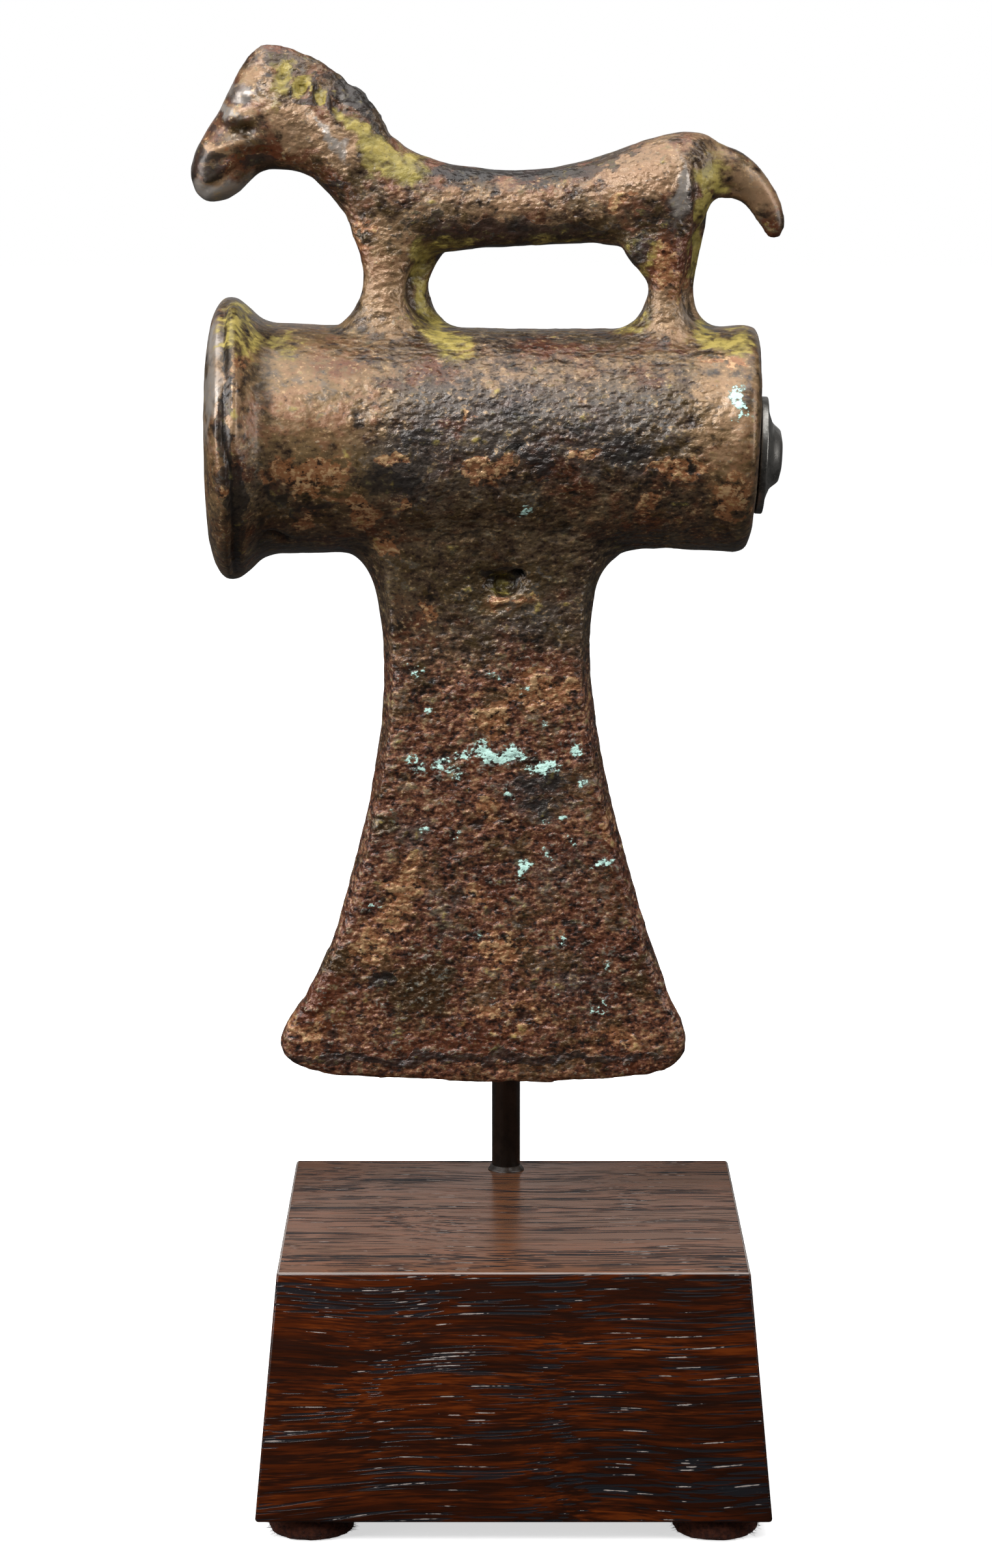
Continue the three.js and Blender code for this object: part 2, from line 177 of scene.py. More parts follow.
def layered(tree, fields, ground, layers, colours):
    """Lays colours over a ground, one by one. A layer is its name, its colour, the weights of the fields
    that place it, the span over which it fades in, and the most that it covers. Masks join the fields."""
    for name, colour, weights, span, cover in layers:
        fields[name] = mask_of(tree, fields, weights, span, (0.0, cover))
        ground = add_node(tree, "ShaderNodeMix", {"data_type": "RGBA"}, {
            0: fields[name], 6: ground, 7: rgba(colours[colour])}).outputs[2]
    return ground


# ------------------------------------------------------------------ meshes

def add_piece(name, mesh, material):
    """Links a new object with its mesh and material, at the origin, and shades it smooth."""
    piece = bpy.data.objects.new(name, mesh)
    bpy.context.scene.collection.objects.link(piece)
    mesh.materials.clear()
    mesh.materials.append(material)
    mesh.shade_smooth()
    return piece


def mesh_from(name, shape):
    """A mesh from a bmesh, its doubles merged and its faces turned outwards."""
    bmesh.ops.remove_doubles(shape, verts=shape.verts, dist=1e-6)
    bmesh.ops.recalc_face_normals(shape, faces=shape.faces)
    mesh = bpy.data.meshes.new(name)
    shape.to_mesh(mesh)
    shape.free()
    return mesh


def with_modifiers(piece):
    """Applies a piece's modifiers to its mesh."""
    shown = piece.evaluated_get(bpy.context.evaluated_depsgraph_get())
    mesh = bpy.data.meshes.new_from_object(shown)
    old = piece.data
    piece.modifiers.clear()
    piece.data = mesh
    bpy.data.meshes.remove(old)
    return piece


def turned(profile, steps, axis_point, turn):
    """A bmesh of a closed profile of (radius, height), spun about its own upright axis and then placed."""
    shape = bmesh.new()
    points = [shape.verts.new((radius, 0, height)) for radius, height in profile]
    edges = [shape.edges.new(pair) for pair in zip(points, points[1:])]
    bmesh.ops.spin(shape, geom=points + edges, cent=(0, 0, 0), axis=(0, 0, 1), dvec=(0, 0, 0),
                   angle=math.tau, steps=steps, use_merge=True, use_duplicate=False)
    bmesh.ops.remove_doubles(shape, verts=shape.verts, dist=1e-6)
    bmesh.ops.transform(shape, matrix=Matrix.Translation(axis_point) @ turn, verts=shape.verts)
    return shape


def arc(centre, radius, start, end, steps):
    """Points of an arc, as (radius, height) pairs. Angles are in degrees."""
    angles = np.radians(np.linspace(start, end, steps + 1))
    return [(centre[0] + radius * math.cos(a), centre[1] + radius * math.sin(a)) for a in angles]


# ------------------------------------------------------------------ sculpting the casting

class Skin:
    """The points of a mesh, with its edges, for smoothing and for moves along the normals."""

    def __init__(self, mesh):
        self.mesh = mesh
        self.count = len(mesh.vertices)
        self.points = np.empty(self.count * 3)
        mesh.vertices.foreach_get("co", self.points)
        self.points = self.points.reshape(-1, 3)
        ends = np.empty(len(mesh.edges) * 2, int)
        mesh.edges.foreach_get("vertices", ends)
        self.ends = ends.reshape(-1, 2)
        self.degree = np.bincount(ends, minlength=self.count)

    @property
    def places(self):
        """The points in millimetres, in the axe's own frame."""
        return (self.points - AXE_ORIGIN) / MM

    def averaged(self, values):
        """The mean of each point's neighbours."""
        a, b = self.ends.T
        rows = values.reshape(self.count, -1)
        sums = [np.bincount(a, row[b], self.count) + np.bincount(b, row[a], self.count) for row in rows.T]
        return (np.array(sums).T / self.degree[:, None]).reshape(values.shape)

    def smooth(self, rounds, share=0.5, keep=0.0):
        """Moves points towards their neighbours, and back out by keep so that the form doesn't shrink."""
        share = np.broadcast_to(np.asarray(share, float), self.count)[:, None]
        for _ in range(rounds):
            self.points += share * (self.averaged(self.points) - self.points)
            if keep:
                self.points -= keep * share * (self.averaged(self.points) - self.points)

    def normals(self):
        """The normal at each point."""
        self.mesh.vertices.foreach_set("co", self.points.ravel())
        self.mesh.update()
        normals = np.empty(self.count * 3)
        self.mesh.vertices.foreach_get("normal", normals)
        return normals.reshape(-1, 3)

    def raise_by(self, height):
        """Moves every point out along its normal, by a height in millimetres."""
        self.points += self.normals() * (height * MM)[:, None]

    def write(self, name, values):
        """Keeps a value for each point as an attribute that the material reads."""
        attribute = self.mesh.attributes.new(name, "FLOAT", "POINT")
        attribute.data.foreach_set("value", np.clip(values, 0, 1).astype(np.float32))


def eased(value, low, high):
    """0 below low, 1 above high, and smooth between."""
    t = np.clip((value - low) / (high - low), 0, 1)
    return t * t * (3 - 2 * t)


def rough(places, size, octaves=3, shift=0.0, stretch=(1, 1, 1)):
    """Smooth noise at each place, about -1 to 1, with features of a size in millimetres."""
    scaled = places / (size * np.array(stretch)) + shift
    return np.array([noise.fractal(place, 1.0, 2.0, octaves) for place in scaled.tolist()])


def near_patch(places, middle, reach, turn=0.0):
    """How far each place is from a patch seen from the side: 0 in its middle and 1 at its edge."""
    angle = math.radians(turn)
    dx = places[:, 0] - middle[0]
    dz = places[:, 2] - middle[1]
    along = dx * math.cos(angle) + dz * math.sin(angle)
    across = dz * math.cos(angle) - dx * math.sin(angle)
    return np.hypot(along / reach[0], across / reach[1])


def near_line(places, line):
    """The distance in millimetres from each place, seen from the side, to a line of points."""
    spots = places[:, [0, 2]]
    best = np.full(len(spots), np.inf)
    for start, end in zip(line, line[1:]):
        start, end = np.array(start), np.array(end)
        run = end - start
        share = np.clip((spots - start) @ run / (run @ run), 0, 1)
        best = np.minimum(best, np.linalg.norm(spots - start - share[:, None] * run, axis=1))
    return best


def bump_of(distance):
    """1 at distance 0, falling smoothly to 0 at 1."""
    return eased(1 - distance, 0, 1)


# Modelling of the horse, the same on both sides: middle, reach, turn in degrees, height in millimetres.
HORSE_DABS = (
    ((-37.3, 48.2), (2.0, 1.15), -18, 0.6),   # eye
    ((-35.2, 46.6), (2.0, 1.0), -25, -0.32),  # hollow behind and under the eye
    ((-36.0, 45.4), (2.3, 0.6), -14, 0.36),   # its lower lid
    ((-36.8, 50.0), (2.8, 0.6), 0, 0.22),     # brow
    ((-36.9, 50.9), (2.6, 0.5), 0, -0.22),    # fold over the brow
    ((-36.4, 52.4), (1.9, 1.6), 0, 0.45),     # temple
    ((-38.9, 44.2), (2.9, 0.95), 14, 0.45),   # cheekbone
    ((-41.9, 44.9), (0.9, 0.9), 0, 0.3),      # nostril
    ((-39.8, 42.4), (3.0, 0.8), 22, -0.2),    # hollow under the cheek
    ((-39.4, 38.4), (3.6, 1.7), 38, 0.3),     # lower lip and chin
    ((-32.0, 43.8), (4.0, 2.0), 4, -0.22),    # throat behind the jaw
    ((-29.9, 54.0), (1.0, 2.6), 8, -0.15),    # mane strokes, from the poll down
    ((-27.1, 53.1), (0.95, 2.4), 8, -0.42),
    ((-24.5, 51.9), (1.0, 2.5), 10, -0.5),
    ((-22.2, 50.5), (0.9, 2.1), 14, -0.42),
    ((-28.5, 53.6), (0.8, 2.2), 8, 0.3),      # the ridges between them
    ((-25.8, 52.6), (0.7, 2.2), 10, 0.3),
    ((-23.3, 51.4), (0.7, 2.0), 12, 0.3),
    ((37.0, 38.2), (2.0, 0.8), -22, -0.6),    # dimple under the root of the tail
    ((36.2, 36.9), (1.6, 0.6), -10, 0.3),
    ((28.3, 27.0), (4.4, 4.8), 0, 0.45),      # thigh, over the thinner shank
    ((28.3, 21.6), (4.2, 0.7), 4, -0.35),
    ((24.5, 38.0), (6.5, 5.0), 10, 0.35),     # haunch
    ((29.4, 38.6), (1.2, 5.6), 2, 0.3),       # its rear edge
    ((-14.5, 36.0), (5.0, 5.0), 0, 0.35),     # shoulder
    ((2.0, 33.0), (8.0, 2.6), 2, -0.25),      # flank
)

# Creases and ridges of the horse: line, half width, height in millimetres.
HORSE_LINES = (
    (((-42.0, 37.7), (-39.6, 39.2), (-37.1, 41.3)), 0.5, -0.32),              # mouth
    (((-41.6, 38.9), (-37.6, 41.9)), 0.6, 0.22),                              # upper lip
    (((-28.6, 51.6), (-26.3, 49.0), (-23.0, 47.2), (-20.4, 45.0)), 0.9, -0.2),
    (((-25.3, 48.2), (-22.4, 45.4), (-19.4, 42.0)), 1.1, 0.45),               # ridge under the mane
    (((-22.6, 47.2), (-20.8, 45.4)), 0.7, 0.25),
    (((-14.0, 39.4), (-6.0, 39.0), (5.0, 39.1)), 0.7, -0.15),                 # lower edge of the spine
    (((5.0, 39.8), (16.0, 41.0), (24.0, 43.6)), 0.6, -0.1),
    (((31.7, 42.0), (32.0, 36.0), (32.0, 28.0), (31.2, 17.0)), 0.75, -0.5),   # crease behind the haunch
    (((30.4, 41.0), (30.9, 36.0), (30.9, 26.0)), 0.8, 0.22),
)


def horse_relief(places, normals):
    """The carving of the horse, on both of its sides."""
    height = np.zeros(len(places))
    for middle, reach, turn, rise in HORSE_DABS:
        height += rise * bump_of(near_patch(places, middle, reach, turn) / 1.15)
    for line, width, rise in HORSE_LINES:
        height += rise * bump_of(near_line(places, line) / (width * 1.3))
    height *= eased(np.abs(normals[:, 1]), 0.05, 0.35)
    crest = bump_of(near_line(places, ((-27, 57.3), (-21, 54), (-16, 50.3), (-14.8, 46.8))) / 3.6)
    return (height + 0.5 * crest * rough(places, 2.6, 2, 31.0)) * eased(places[:, 2], 16.5, 19)


def collar_relief(places):
    """The crease that parts the collar's rim from the tube. It wanders, and fades at the top and bottom."""
    x, y, z = places.T
    line = np.interp(z, [-16, -9, -2, 2, 10, 17], [-37.2, -36.9, -37.1, -38.3, -38.4, -39.0])
    from_axis = np.hypot(y, z)
    on_rim = eased(from_axis, 14, 17) * eased(np.abs(y), 3, 9)
    crease = bump_of(np.abs(x - line) / 1.15)
    shoulder = bump_of(np.abs(x - line - 1.7) / 1.4) * eased(z, 0, 6)
    return on_rim * (0.4 * shoulder - 0.95 * crease)


def flaw_relief(places, normals):
    """The burst gas bubble high on the blade's show side, with a crumbling lower lip."""
    show = eased(-normals[:, 1], -0.4, 0.1) * eased(-places[:, 1], 1, 4)
    ragged = 0.45 * rough(places, 1.7, 3, 7.0)
    hollow = bump_of(near_patch(places, (3.5, -20.5), (3.6, 2.4), -4) / 1.1 + ragged)
    deepest = bump_of(near_patch(places, (5.0, -19.6), (1.9, 1.4)) / 1.1 + ragged)
    lip = bump_of(near_patch(places, (3.6, -23.6), (3.8, 1.0), 4) + ragged)
    second = bump_of(near_patch(places, (0.6, -22.6), (1.3, 0.9)) + ragged)
    return show * (0.4 * lip - 1.0 * hollow - 1.6 * deepest - 0.5 * second)


# Single pits: middle, reach, turn, depth in millimetres, on the show side.
PITS = (
    ((4.9, 0.5), (1.0, 0.7), 25, 1.0),
    ((3.4, -0.1), (0.6, 0.5), 0, 0.4),
    ((-31.2, -13.1), (2.1, 0.6), -22, 0.8),
    ((-29.8, -13.9), (0.8, 0.6), 0, 0.5),
    ((1.4, -6.9), (0.5, 0.35), 0, 0.4),
    ((13.8, -60.6), (0.6, 1.6), 15, 0.4),
    ((-15.2, -82.2), (2.0, 1.0), 12, 0.45),
    ((-18.6, -60.4), (0.8, 0.5), 0, 0.3),
    ((13.0, -73.4), (2.6, 0.5), -12, 0.35),
)


def grain_of(places):
    """How corroded the skin is: smooth to the left of the tube and on the chin, coarse down the blade."""
    x, _, z = places.T
    blade = eased(-z, 22, 38)
    tube = eased(x + 0.35 * z, -22, -8) * eased(-x, -40, -28)
    horse = eased(z, 20, 24)
    chin = bump_of(near_patch(places, (-39.8, 37.2), (5, 3), 30) / 1.3)
    grain = 0.2 + 0.8 * blade + 0.55 * tube * (1 - blade) - 0.1 * horse
    return np.clip(grain * (1 - 0.9 * chin), 0, 1)


def corroded_relief(places, grain):
    """Undulating cast skin, with scabs on the tube and coarse granular corrosion on the blade."""
    waves = 0.14 * rough(places, 12, 2, 3.0) + 0.06 * rough(places, 4.5, 2, 11.0)
    grains = 0.13 * rough(places, 2.0, 3, 17.0, (1.3, 1, 1))
    on_tube = eased(places[:, 2], -22, -16) * eased(-places[:, 2], -17.5, -14)
    wrinkles = 0.2 * rough(places, 2.8, 3, 23.0, (1.5, 1, 0.8))
    scabs = eased(rough(places, 5.5, 4, 41.0, (1.6, 1, 0.9)), -0.05, 0.07) * 0.18
    return waves + grain * (grains + on_tube * (scabs + wrinkles))


def scattered_pits(skin, normals, grain, count, seed):
    """Small round pits at chance places, more of them where the skin is corroded."""
    draw = np.random.default_rng(seed)
    places = skin.places
    tree = kdtree.KDTree(skin.count)
    for i, place in enumerate(places):
        tree.insert(place, i)
    tree.balance()
    height = np.zeros(skin.count)
    chances = grain ** 2 / np.sum(grain ** 2)
    for middle in draw.choice(skin.count, count, p=chances):
        reach = draw.uniform(0.8, 2.0)
        depth = draw.uniform(0.05, 0.25)
        for _, i, distance in tree.find_range(places[middle], reach):
            if normals[i] @ normals[middle] > 0.3:
                share = distance / reach * draw.uniform(0.7, 1.0)
                height[i] = min(height[i], -depth * (1 - share ** 2) ** 2)
    return height


# ------------------------------------------------------------------ patina, painted by place

# Patches of each deposit, and of painted highlight and shade, on the show side, in millimetres from the
# axe's origin: x and z of the middle, reach along and across, turn in degrees, strength.
PATINA = {
    "lime": (  # powdery yellow-green, in sheltered places
        (-18.6, 46.6, 3.4, 1.5, -50, 1), (-15.3, 43.2, 3.6, 2.1, -45, 1), (-12.3, 41, 2.9, 1.9, -25, 1),
        (-10.4, 41.6, 1.4, 1.1, 0, 0.9), (-27.1, 53.1, 0.75, 1.5, 8, 1.5),
        (-24.5, 51.9, 0.75, 1.6, 10, 1.5), (-22, 49.6, 0.6, 1, 12, 1.2), (-30.1, 54, 1.7, 2.6, -10, 0.8),
        (-30.8, 50.6, 0.9, 1.2, 0, 0.6), (-20.4, 48.4, 1.3, 1, -40, 0.9), (-9.3, 27.8, 1.6, 3.4, 20, 0.9),
        (-9.2, 22.5, 1.3, 5, 0, 0.95), (-6, 29.3, 3.2, 1.3, 12, 0.8), (-5.6, 15.8, 3.4, 1.7, -25, 0.9),
        (-7.5, 17.8, 1.5, 1.8, 0, 0.9), (34.2, 40.8, 2.6, 2.9, 0, 0.85), (32.9, 36, 1.2, 3.2, 0, 0.95),
        (32.3, 29, 0.9, 5, 0, 0.9), (35.8, 38.6, 1, 0.8, 0, 0.9), (36, 15.7, 4, 1.2, -4, 0.9),
        (32.8, 17.4, 1.4, 1.6, 0, 0.85), (-37, 18.4, 2.2, 2.8, -10, 0.78), (-35, 15.6, 1.6, 1.9, 0, 0.7),
        (-31.4, 15.4, 4, 1.1, -4, 0.65), (24.6, 27, 1, 3.6, -28, 0.55), (22.6, 17.6, 2.6, 1, 25, 0.6),
        (12.5, 30.3, 9, 0.8, 2, 0.45), (2.4, -21, 1.7, 1.2, 0, 0.6),
    ),
    "pewter": (  # painted silver highlight and reflection: chin, temple, eye, neck ridge, haunch, shank and collar rim
        (-39.4, 36.6, 5.4, 2.2, 18, 1.6), (-41.6, 37.4, 1.6, 1.6, -30, 1),
        (-36.6, 52.4, 1.6, 1.5, 0, 0.8), (29.2, 38.8, 0.9, 4.2, 0, 1.2), (29.6, 19, 1, 3, 0, 0.6),
        (-23, 45.6, 0.5, 4.2, 44, 1.1), (-40.6, 15.6, 1.6, 3.4, -12, 0.9), (-40.6, 8, 1.2, 6, 0, 1.1),
        (-20.6, 51.6, 1.6, 0.8, -40, 0.6), (-37.7, 48.6, 1.5, 0.8, -10, 1.1),
    ),
    "rub": (  # paler: patina worn on high places by hands and cleaning, and painted highlight on the neck ridge, tail, cheek, collar shoulder and tube top
        (-22, 44.6, 4, 2.6, -48, 1.6), (-27, 47, 4, 2.6, -20, 0.8), (-38.6, 44.4, 3, 1, 14, 1.5),
        (-39.8, 39.5, 3.2, 0.4, 36, 1.7), (-14, 22, 3.6, 5.4, 0, 1.2), (-36.6, 49.8, 2.4, 0.6, 0, 0.9),
        (24, 40.4, 7, 3.6, 12, 1.3), (39.4, 38.6, 2.8, 2.4, -40, 1.5), (2, 35.4, 13, 2.6, 0, 0.7),
        (-13.5, 33, 6, 5.5, 0, 0.6), (-15.2, 24, 3, 5, 0, 0.8), (28.4, 19.8, 3.4, 3, 0, 1.4),
        (41, 37, 3.6, 4.6, -50, 0.9), (-33.2, 55.2, 3.4, 4.4, 0, 0.5), (-26, 46.4, 6, 3, -35, 1.7),
        (-26, 9.4, 11, 5, -4, 0.45), (-36.8, 8, 0.8, 5, 0, 1.5), (35.4, 7, 5, 9, 0, 0.75),
        (-40.4, 8, 1.4, 7, 0, 0.95), (6, 12, 22, 3, 0, 0.5), (34, 45, 4, 2, -35, 0.7),
        (16, 36.5, 6, 3, 10, 0.6),
    ),
    "honey": (  # smooth waxed olive-tan
        (-26, 8, 10.5, 9, -8, 0.95), (-24, -3, 9, 5, -30, 0.6), (37, 4, 5.5, 13, 0, 0.85),
        (-40.2, 3, 2, 14, 0, 0.7), (3.4, -23.7, 3.6, 1.1, 4, 2.2), (2.6, -21, 2.4, 1.5, 0, 1.2),
        (-35.8, 45.5, 2.6, 0.7, -22, 1.5), (-35.4, 46.9, 1.9, 1, -25, 1), (35.4, 41.6, 4, 3, -20, 0.7),
        (-32.2, 54, 4, 3.6, 0, 0.6), (29, 18.6, 4.6, 3.4, 0, 0.7), (-14.6, 31.6, 4, 3, 0, 0.5),
        (-14.6, 24, 3.2, 7, 0, 1.1), (2, -104, 6, 3, 0, 0.4), (-25, -90, 6, 5, 20, 0.3),
    ),
    "slate": (  # blue-grey crust
        (0, 4, 17, 9, 0, 0.8), (18, 3, 10, 7, 0, 0.75), (-12, -2, 6, 7, 20, 0.85),
        (-36.4, 52.2, 2.2, 1.8, 0, 1), (-37.2, 48.2, 2, 1.2, -20, 1), (29.3, 38.4, 1.7, 5, 0, 0.95),
        (-33.2, 57.6, 1.8, 1, 0, 0.9), (-18.6, 52.2, 4.4, 2, -42, 0.8), (-28, 47.5, 1.6, 1.2, 0, 0.6),
        (0, 40.4, 12, 1.2, 0, 0.8), (-28.6, 56.4, 2, 1.4, -30, 0.7), (12, -66, 8, 6, 0, 0.4),
        (-12, -60, 5, 4, 0, 0.45), (8.6, -53, 5, 4, 0, 0.8), (15, -83, 5, 4, 0, 0.5),
        (-6, -71, 4, 5, 0, 0.45), (-40.8, 37, 3.6, 2.2, 30, 0.9), (6, -26, 10, 4, 0, 0.5),
    ),
    "rust": (  # dark red-brown oxide
        (-31.6, 43.4, 6, 1.2, -8, 1.2), (-38.2, 41.8, 2.6, 1.2, 15, 1.1), (-23.4, 39.8, 5, 2.4, -42, 0.8),
        (28.2, 28, 4.4, 4.6, 0, 1), (43.6, 32.4, 1.6, 2, 0, 0.9), (20.4, -62, 3.4, 14, 8, 0.75),
        (-17.4, -40, 1.4, 16, 3, 0.9), (-25, -86, 5, 6, -30, 1.2), (0, -93, 28, 4, 0, 0.6),
        (28, -4, 6, 4, 0, 0.55), (-26, -84, 5, 8, -30, 0.7), (-12, -28, 3, 6, 0, 0.5),
        (-39.2, -12, 2, 6, 0, 0.5), (14, 43.4, 9, 1.2, 16, 0.7), (-17.4, 33, 2, 6, 0, 0.6),
        (-8, 11.5, 5, 2.4, 0, 0.8), (-22, 12.6, 6, 1.4, -4, 0.7), (12, 14.6, 9, 1.2, 0, 0.8),
        (24, -11, 5, 2.4, 0, 0.8), (-4, 3.6, 2.6, 1.4, 0, 0.7), (12, -6.4, 3, 1.6, 0, 0.8),
        (-41.4, 40.6, 2.6, 1.8, 20, 0.5), (-24.6, 49, 4, 1, -42, 0.8),
    ),
    "mint": (  # pale blue-green crystals
        (38.2, 7.3, 1.5, 2.6, 8, 0.95), (37.4, 4.4, 0.9, 1, 0, 0.7), (5.9, -9.5, 1, 1, 0, 0.8),
        (-10.4, -48.3, 1.9, 1.5, 0, 0.8), (-6.6, -48.9, 1.8, 1.5, 0, 0.88),
        (-3.3, -47.2, 2.2, 1.5, 0, 0.85), (0.6, -46.4, 2.8, 1.9, -20, 0.98),
        (3.9, -47.6, 2.9, 1.5, -15, 1), (8.8, -49.5, 3, 1.3, -12, 1), (7.4, -48.3, 1.2, 1, 0, 0.9),
        (14.2, -46.6, 1.3, 1.4, 0, 0.8), (-4.4, -50.6, 2.2, 0.9, 0, 0.75), (4, -53, 0.6, 1.9, 10, 0.85),
        (12.4, -57, 1.8, 0.7, 15, 0.72), (8.8, -56.6, 1.6, 0.7, -25, 0.7), (14.8, -52.2, 1, 1.9, 0, 0.68),
        (6, -65, 1.2, 1.6, 10, 0.88), (18, -64.6, 2.5, 0.8, 10, 0.88), (13.6, -60.6, 0.9, 2, 15, 0.74),
        (10, -62.6, 1, 1.6, 0, 0.6), (11.5, -76.9, 1.2, 1, 0, 0.86), (-10.8, -34.4, 2.4, 1.6, 0, 0.64),
        (-8.5, -40.6, 1.3, 1, 0, 0.7), (1.7, -34.8, 2.8, 0.7, 0, 0.62), (9.3, -42.7, 0.9, 0.8, 0, 0.86),
        (6, -38.2, 0.8, 1.4, 0, 0.6), (-17.3, -70.6, 1, 1.5, 10, 0.66), (-9.6, -59.8, 1.3, 0.8, 0, 0.66),
        (-4.4, -59.9, 1, 0.6, 0, 0.68), (17.4, -87.4, 1.3, 3.4, -15, 0.64),
        (-1.8, -76, 1.6, 0.8, 35, 0.68), (1.2, -86.6, 0.9, 1.4, 20, 0.68), (10.4, -84, 0.8, 2, 0, 0.6),
        (-14, -55.8, 2.4, 0.7, 0, 0.6), (19, -80.4, 0.9, 2.6, -10, 0.56), (-28.4, -88, 0.6, 0.6, 0, 0.5),
    ),
    "copper": (  # bright orange-brown copper oxide, where crust has come away
        (-1.7, 4.4, 0.9, 1.4, 0, 0.85), (1.4, -2.8, 4.6, 2, 6, 0.9), (15.8, -0.6, 2.6, 1.3, 8, 0.9),
        (28.8, -2.8, 4.4, 1.5, 0, 0.85), (24.4, -7.9, 2.3, 2.2, 0, 0.8), (-12, -8.5, 1.6, 1, 0, 0.75),
        (-26, -4, 6, 3, -6, 0.95), (-18, -9.4, 1.7, 3, 20, 0.95), (-14.6, -14.2, 1.8, 1.8, 30, 0.8),
        (-13.8, -1.6, 2.6, 1.1, 6, 0.75), (36.4, -7.5, 3, 4.4, 0, 0.75), (-37.6, 10, 1, 2.6, 0, 0.6),
        (-35.5, 13.3, 1.2, 1.8, 0, 0.85), (-38.9, -5.6, 0.9, 1.3, 0, 0.95),
        (35.6, 13.4, 3.2, 1.1, -8, 0.7), (-3.4, 14.6, 2, 1, 20, 0.6), (-27, -11, 3.2, 1.7, 10, 0.7),
        (1.6, -41, 3.6, 3, 0, 0.9), (9.4, -37.4, 5.2, 2.8, -10, 0.95), (0.6, -55.9, 2.8, 2.3, 0, 0.85),
        (-1.1, -69.4, 1.8, 1.6, 0, 0.7), (2.4, -77.8, 4.6, 2.4, 0, 0.85),
        (-12.9, -70, 2.8, 6.6, -20, 0.9), (-17.4, -77.8, 3.6, 2.6, 20, 0.85),
        (-27.4, -91, 3.6, 3.2, 0, 0.7), (4, -88.6, 7, 3, 4, 0.6), (20, -92, 6, 3, 0, 0.6),
        (-8.4, -24.6, 1.2, 3.2, 10, 0.6), (20.2, -59.6, 1.6, 4.2, 14, 0.55),
        (12.6, -60.2, 1.4, 1, 0, 0.7), (-42, 45.2, 1, 1, 0, 0.6), (-38.8, 44.6, 2.2, 1.4, 0, 0.55),
        (3.6, -23.6, 3.4, 1, 4, 0.75), (29, 24.6, 3, 2.2, 0, 0.8), (27.4, 29.4, 2, 2, 0, 0.7),
        (-18.6, 31, 2.4, 3, 0, 0.6), (20.4, 36.4, 3, 1.4, 10, 0.7),
    ),
    "char": (  # near-black crust, and painted shade in the collar's crease, the flaw's hole, the pits and along the cutting edge
        (-15.6, 47.2, 1, 2.6, 20, 0.95), (-20, 52.4, 6.5, 1.6, -38, 0.85), (4, 40.6, 16, 1.5, 0, 1),
        (18, 42.6, 6, 1, 18, 0.8), (4, 31.2, 14, 2.2, 1, 1.2), (22.6, 28.4, 2, 4, -30, 0.8),
        (-30, 40.4, 8, 1.4, -14, 0.9), (-23.4, 37.6, 1.6, 3, -50, 0.7), (-28.6, 53.6, 0.5, 2.2, 8, 1.2),
        (-25.7, 52.4, 0.45, 2.2, 10, 1.2), (-23.1, 51.2, 0.45, 2, 12, 1.2),
        (-26.6, 50.4, 1.6, 0.5, -30, 1), (-43.4, 41, 1.2, 3.6, 0, 1.3), (-40.2, 40.9, 2.6, 1, 22, 1),
        (-41.6, 42.6, 1.8, 1, 10, 1.2), (-31.1, 57.2, 2, 1.2, -15, 0.75), (-5, 40.2, 9, 0.9, -1, 0.95),
        (11, 41, 5, 0.8, 8, 0.6), (-38.5, -3.6, 1.6, 1.2, 0, 0.95), (-30, -6.1, 1.9, 1.6, 0, 1),
        (-26, -9.2, 4.6, 1, 12, 0.8), (-10.6, 2.5, 4.8, 2.8, 0, 0.6), (-14, -4.6, 6, 2.2, -4, 0.85),
        (8.4, -1.6, 3, 3.4, 0, 0.8), (20.4, 0, 4.6, 2.1, 8, 0.85), (5, 5.6, 3.2, 1.6, 0, 0.6),
        (14, 3, 4, 1.6, 0, 0.55), (28, -8.6, 2.8, 1.4, 0, 0.5), (-15.3, -82.2, 2.4, 1.2, 12, 0.9),
        (8.8, -52.8, 4.4, 3.8, 0, 0.7), (30.4, 36.8, 0.8, 4.6, -4, 0.6), (-40, 46.6, 1.4, 1, 0, 0.6),
        (-33.5, -12, 2, 3, 0, 0.6), (13, -73.4, 3, 0.7, -12, 0.7), (-5.6, 33, 6, 1.4, 2, 0.75),
        (26, 33.8, 4.6, 1.8, 0, 0.55), (5, -19.6, 2, 1.3, 0, 1.7), (4.9, 0.5, 1.1, 0.7, 25, 1.7),
        (-38.2, 7, 0.8, 9, 0, 1.5), (-36.9, -9, 0.9, 7, 0, 1.4), (2.2, -18.6, 2, 0.6, 8, 1.3),
        (0, -95.4, 30, 0.7, 0, 1.3),
    ),
    "olive": (  # glassy dark olive-brown
        (-9.8, -84.4, 6.4, 5.4, 10, 0.9), (-23, -80, 4.2, 3.2, 20, 0.75),
        (23.4, -82.6, 3.4, 3.6, 0, 0.65), (-15.1, -58.6, 2, 1.6, 0, 0.75), (-14, -65.6, 2.4, 1, 0, 0.7),
        (1, -20, 14, 6, 0, 0.6), (-35.5, 46.8, 2.2, 1.4, -25, 0.9), (2.6, -57, 1.4, 1.2, 0, 0.7),
        (-8, 31.4, 4, 2, 0, 0.5), (14, 35, 5, 2.6, 6, 0.5),
    ),
}


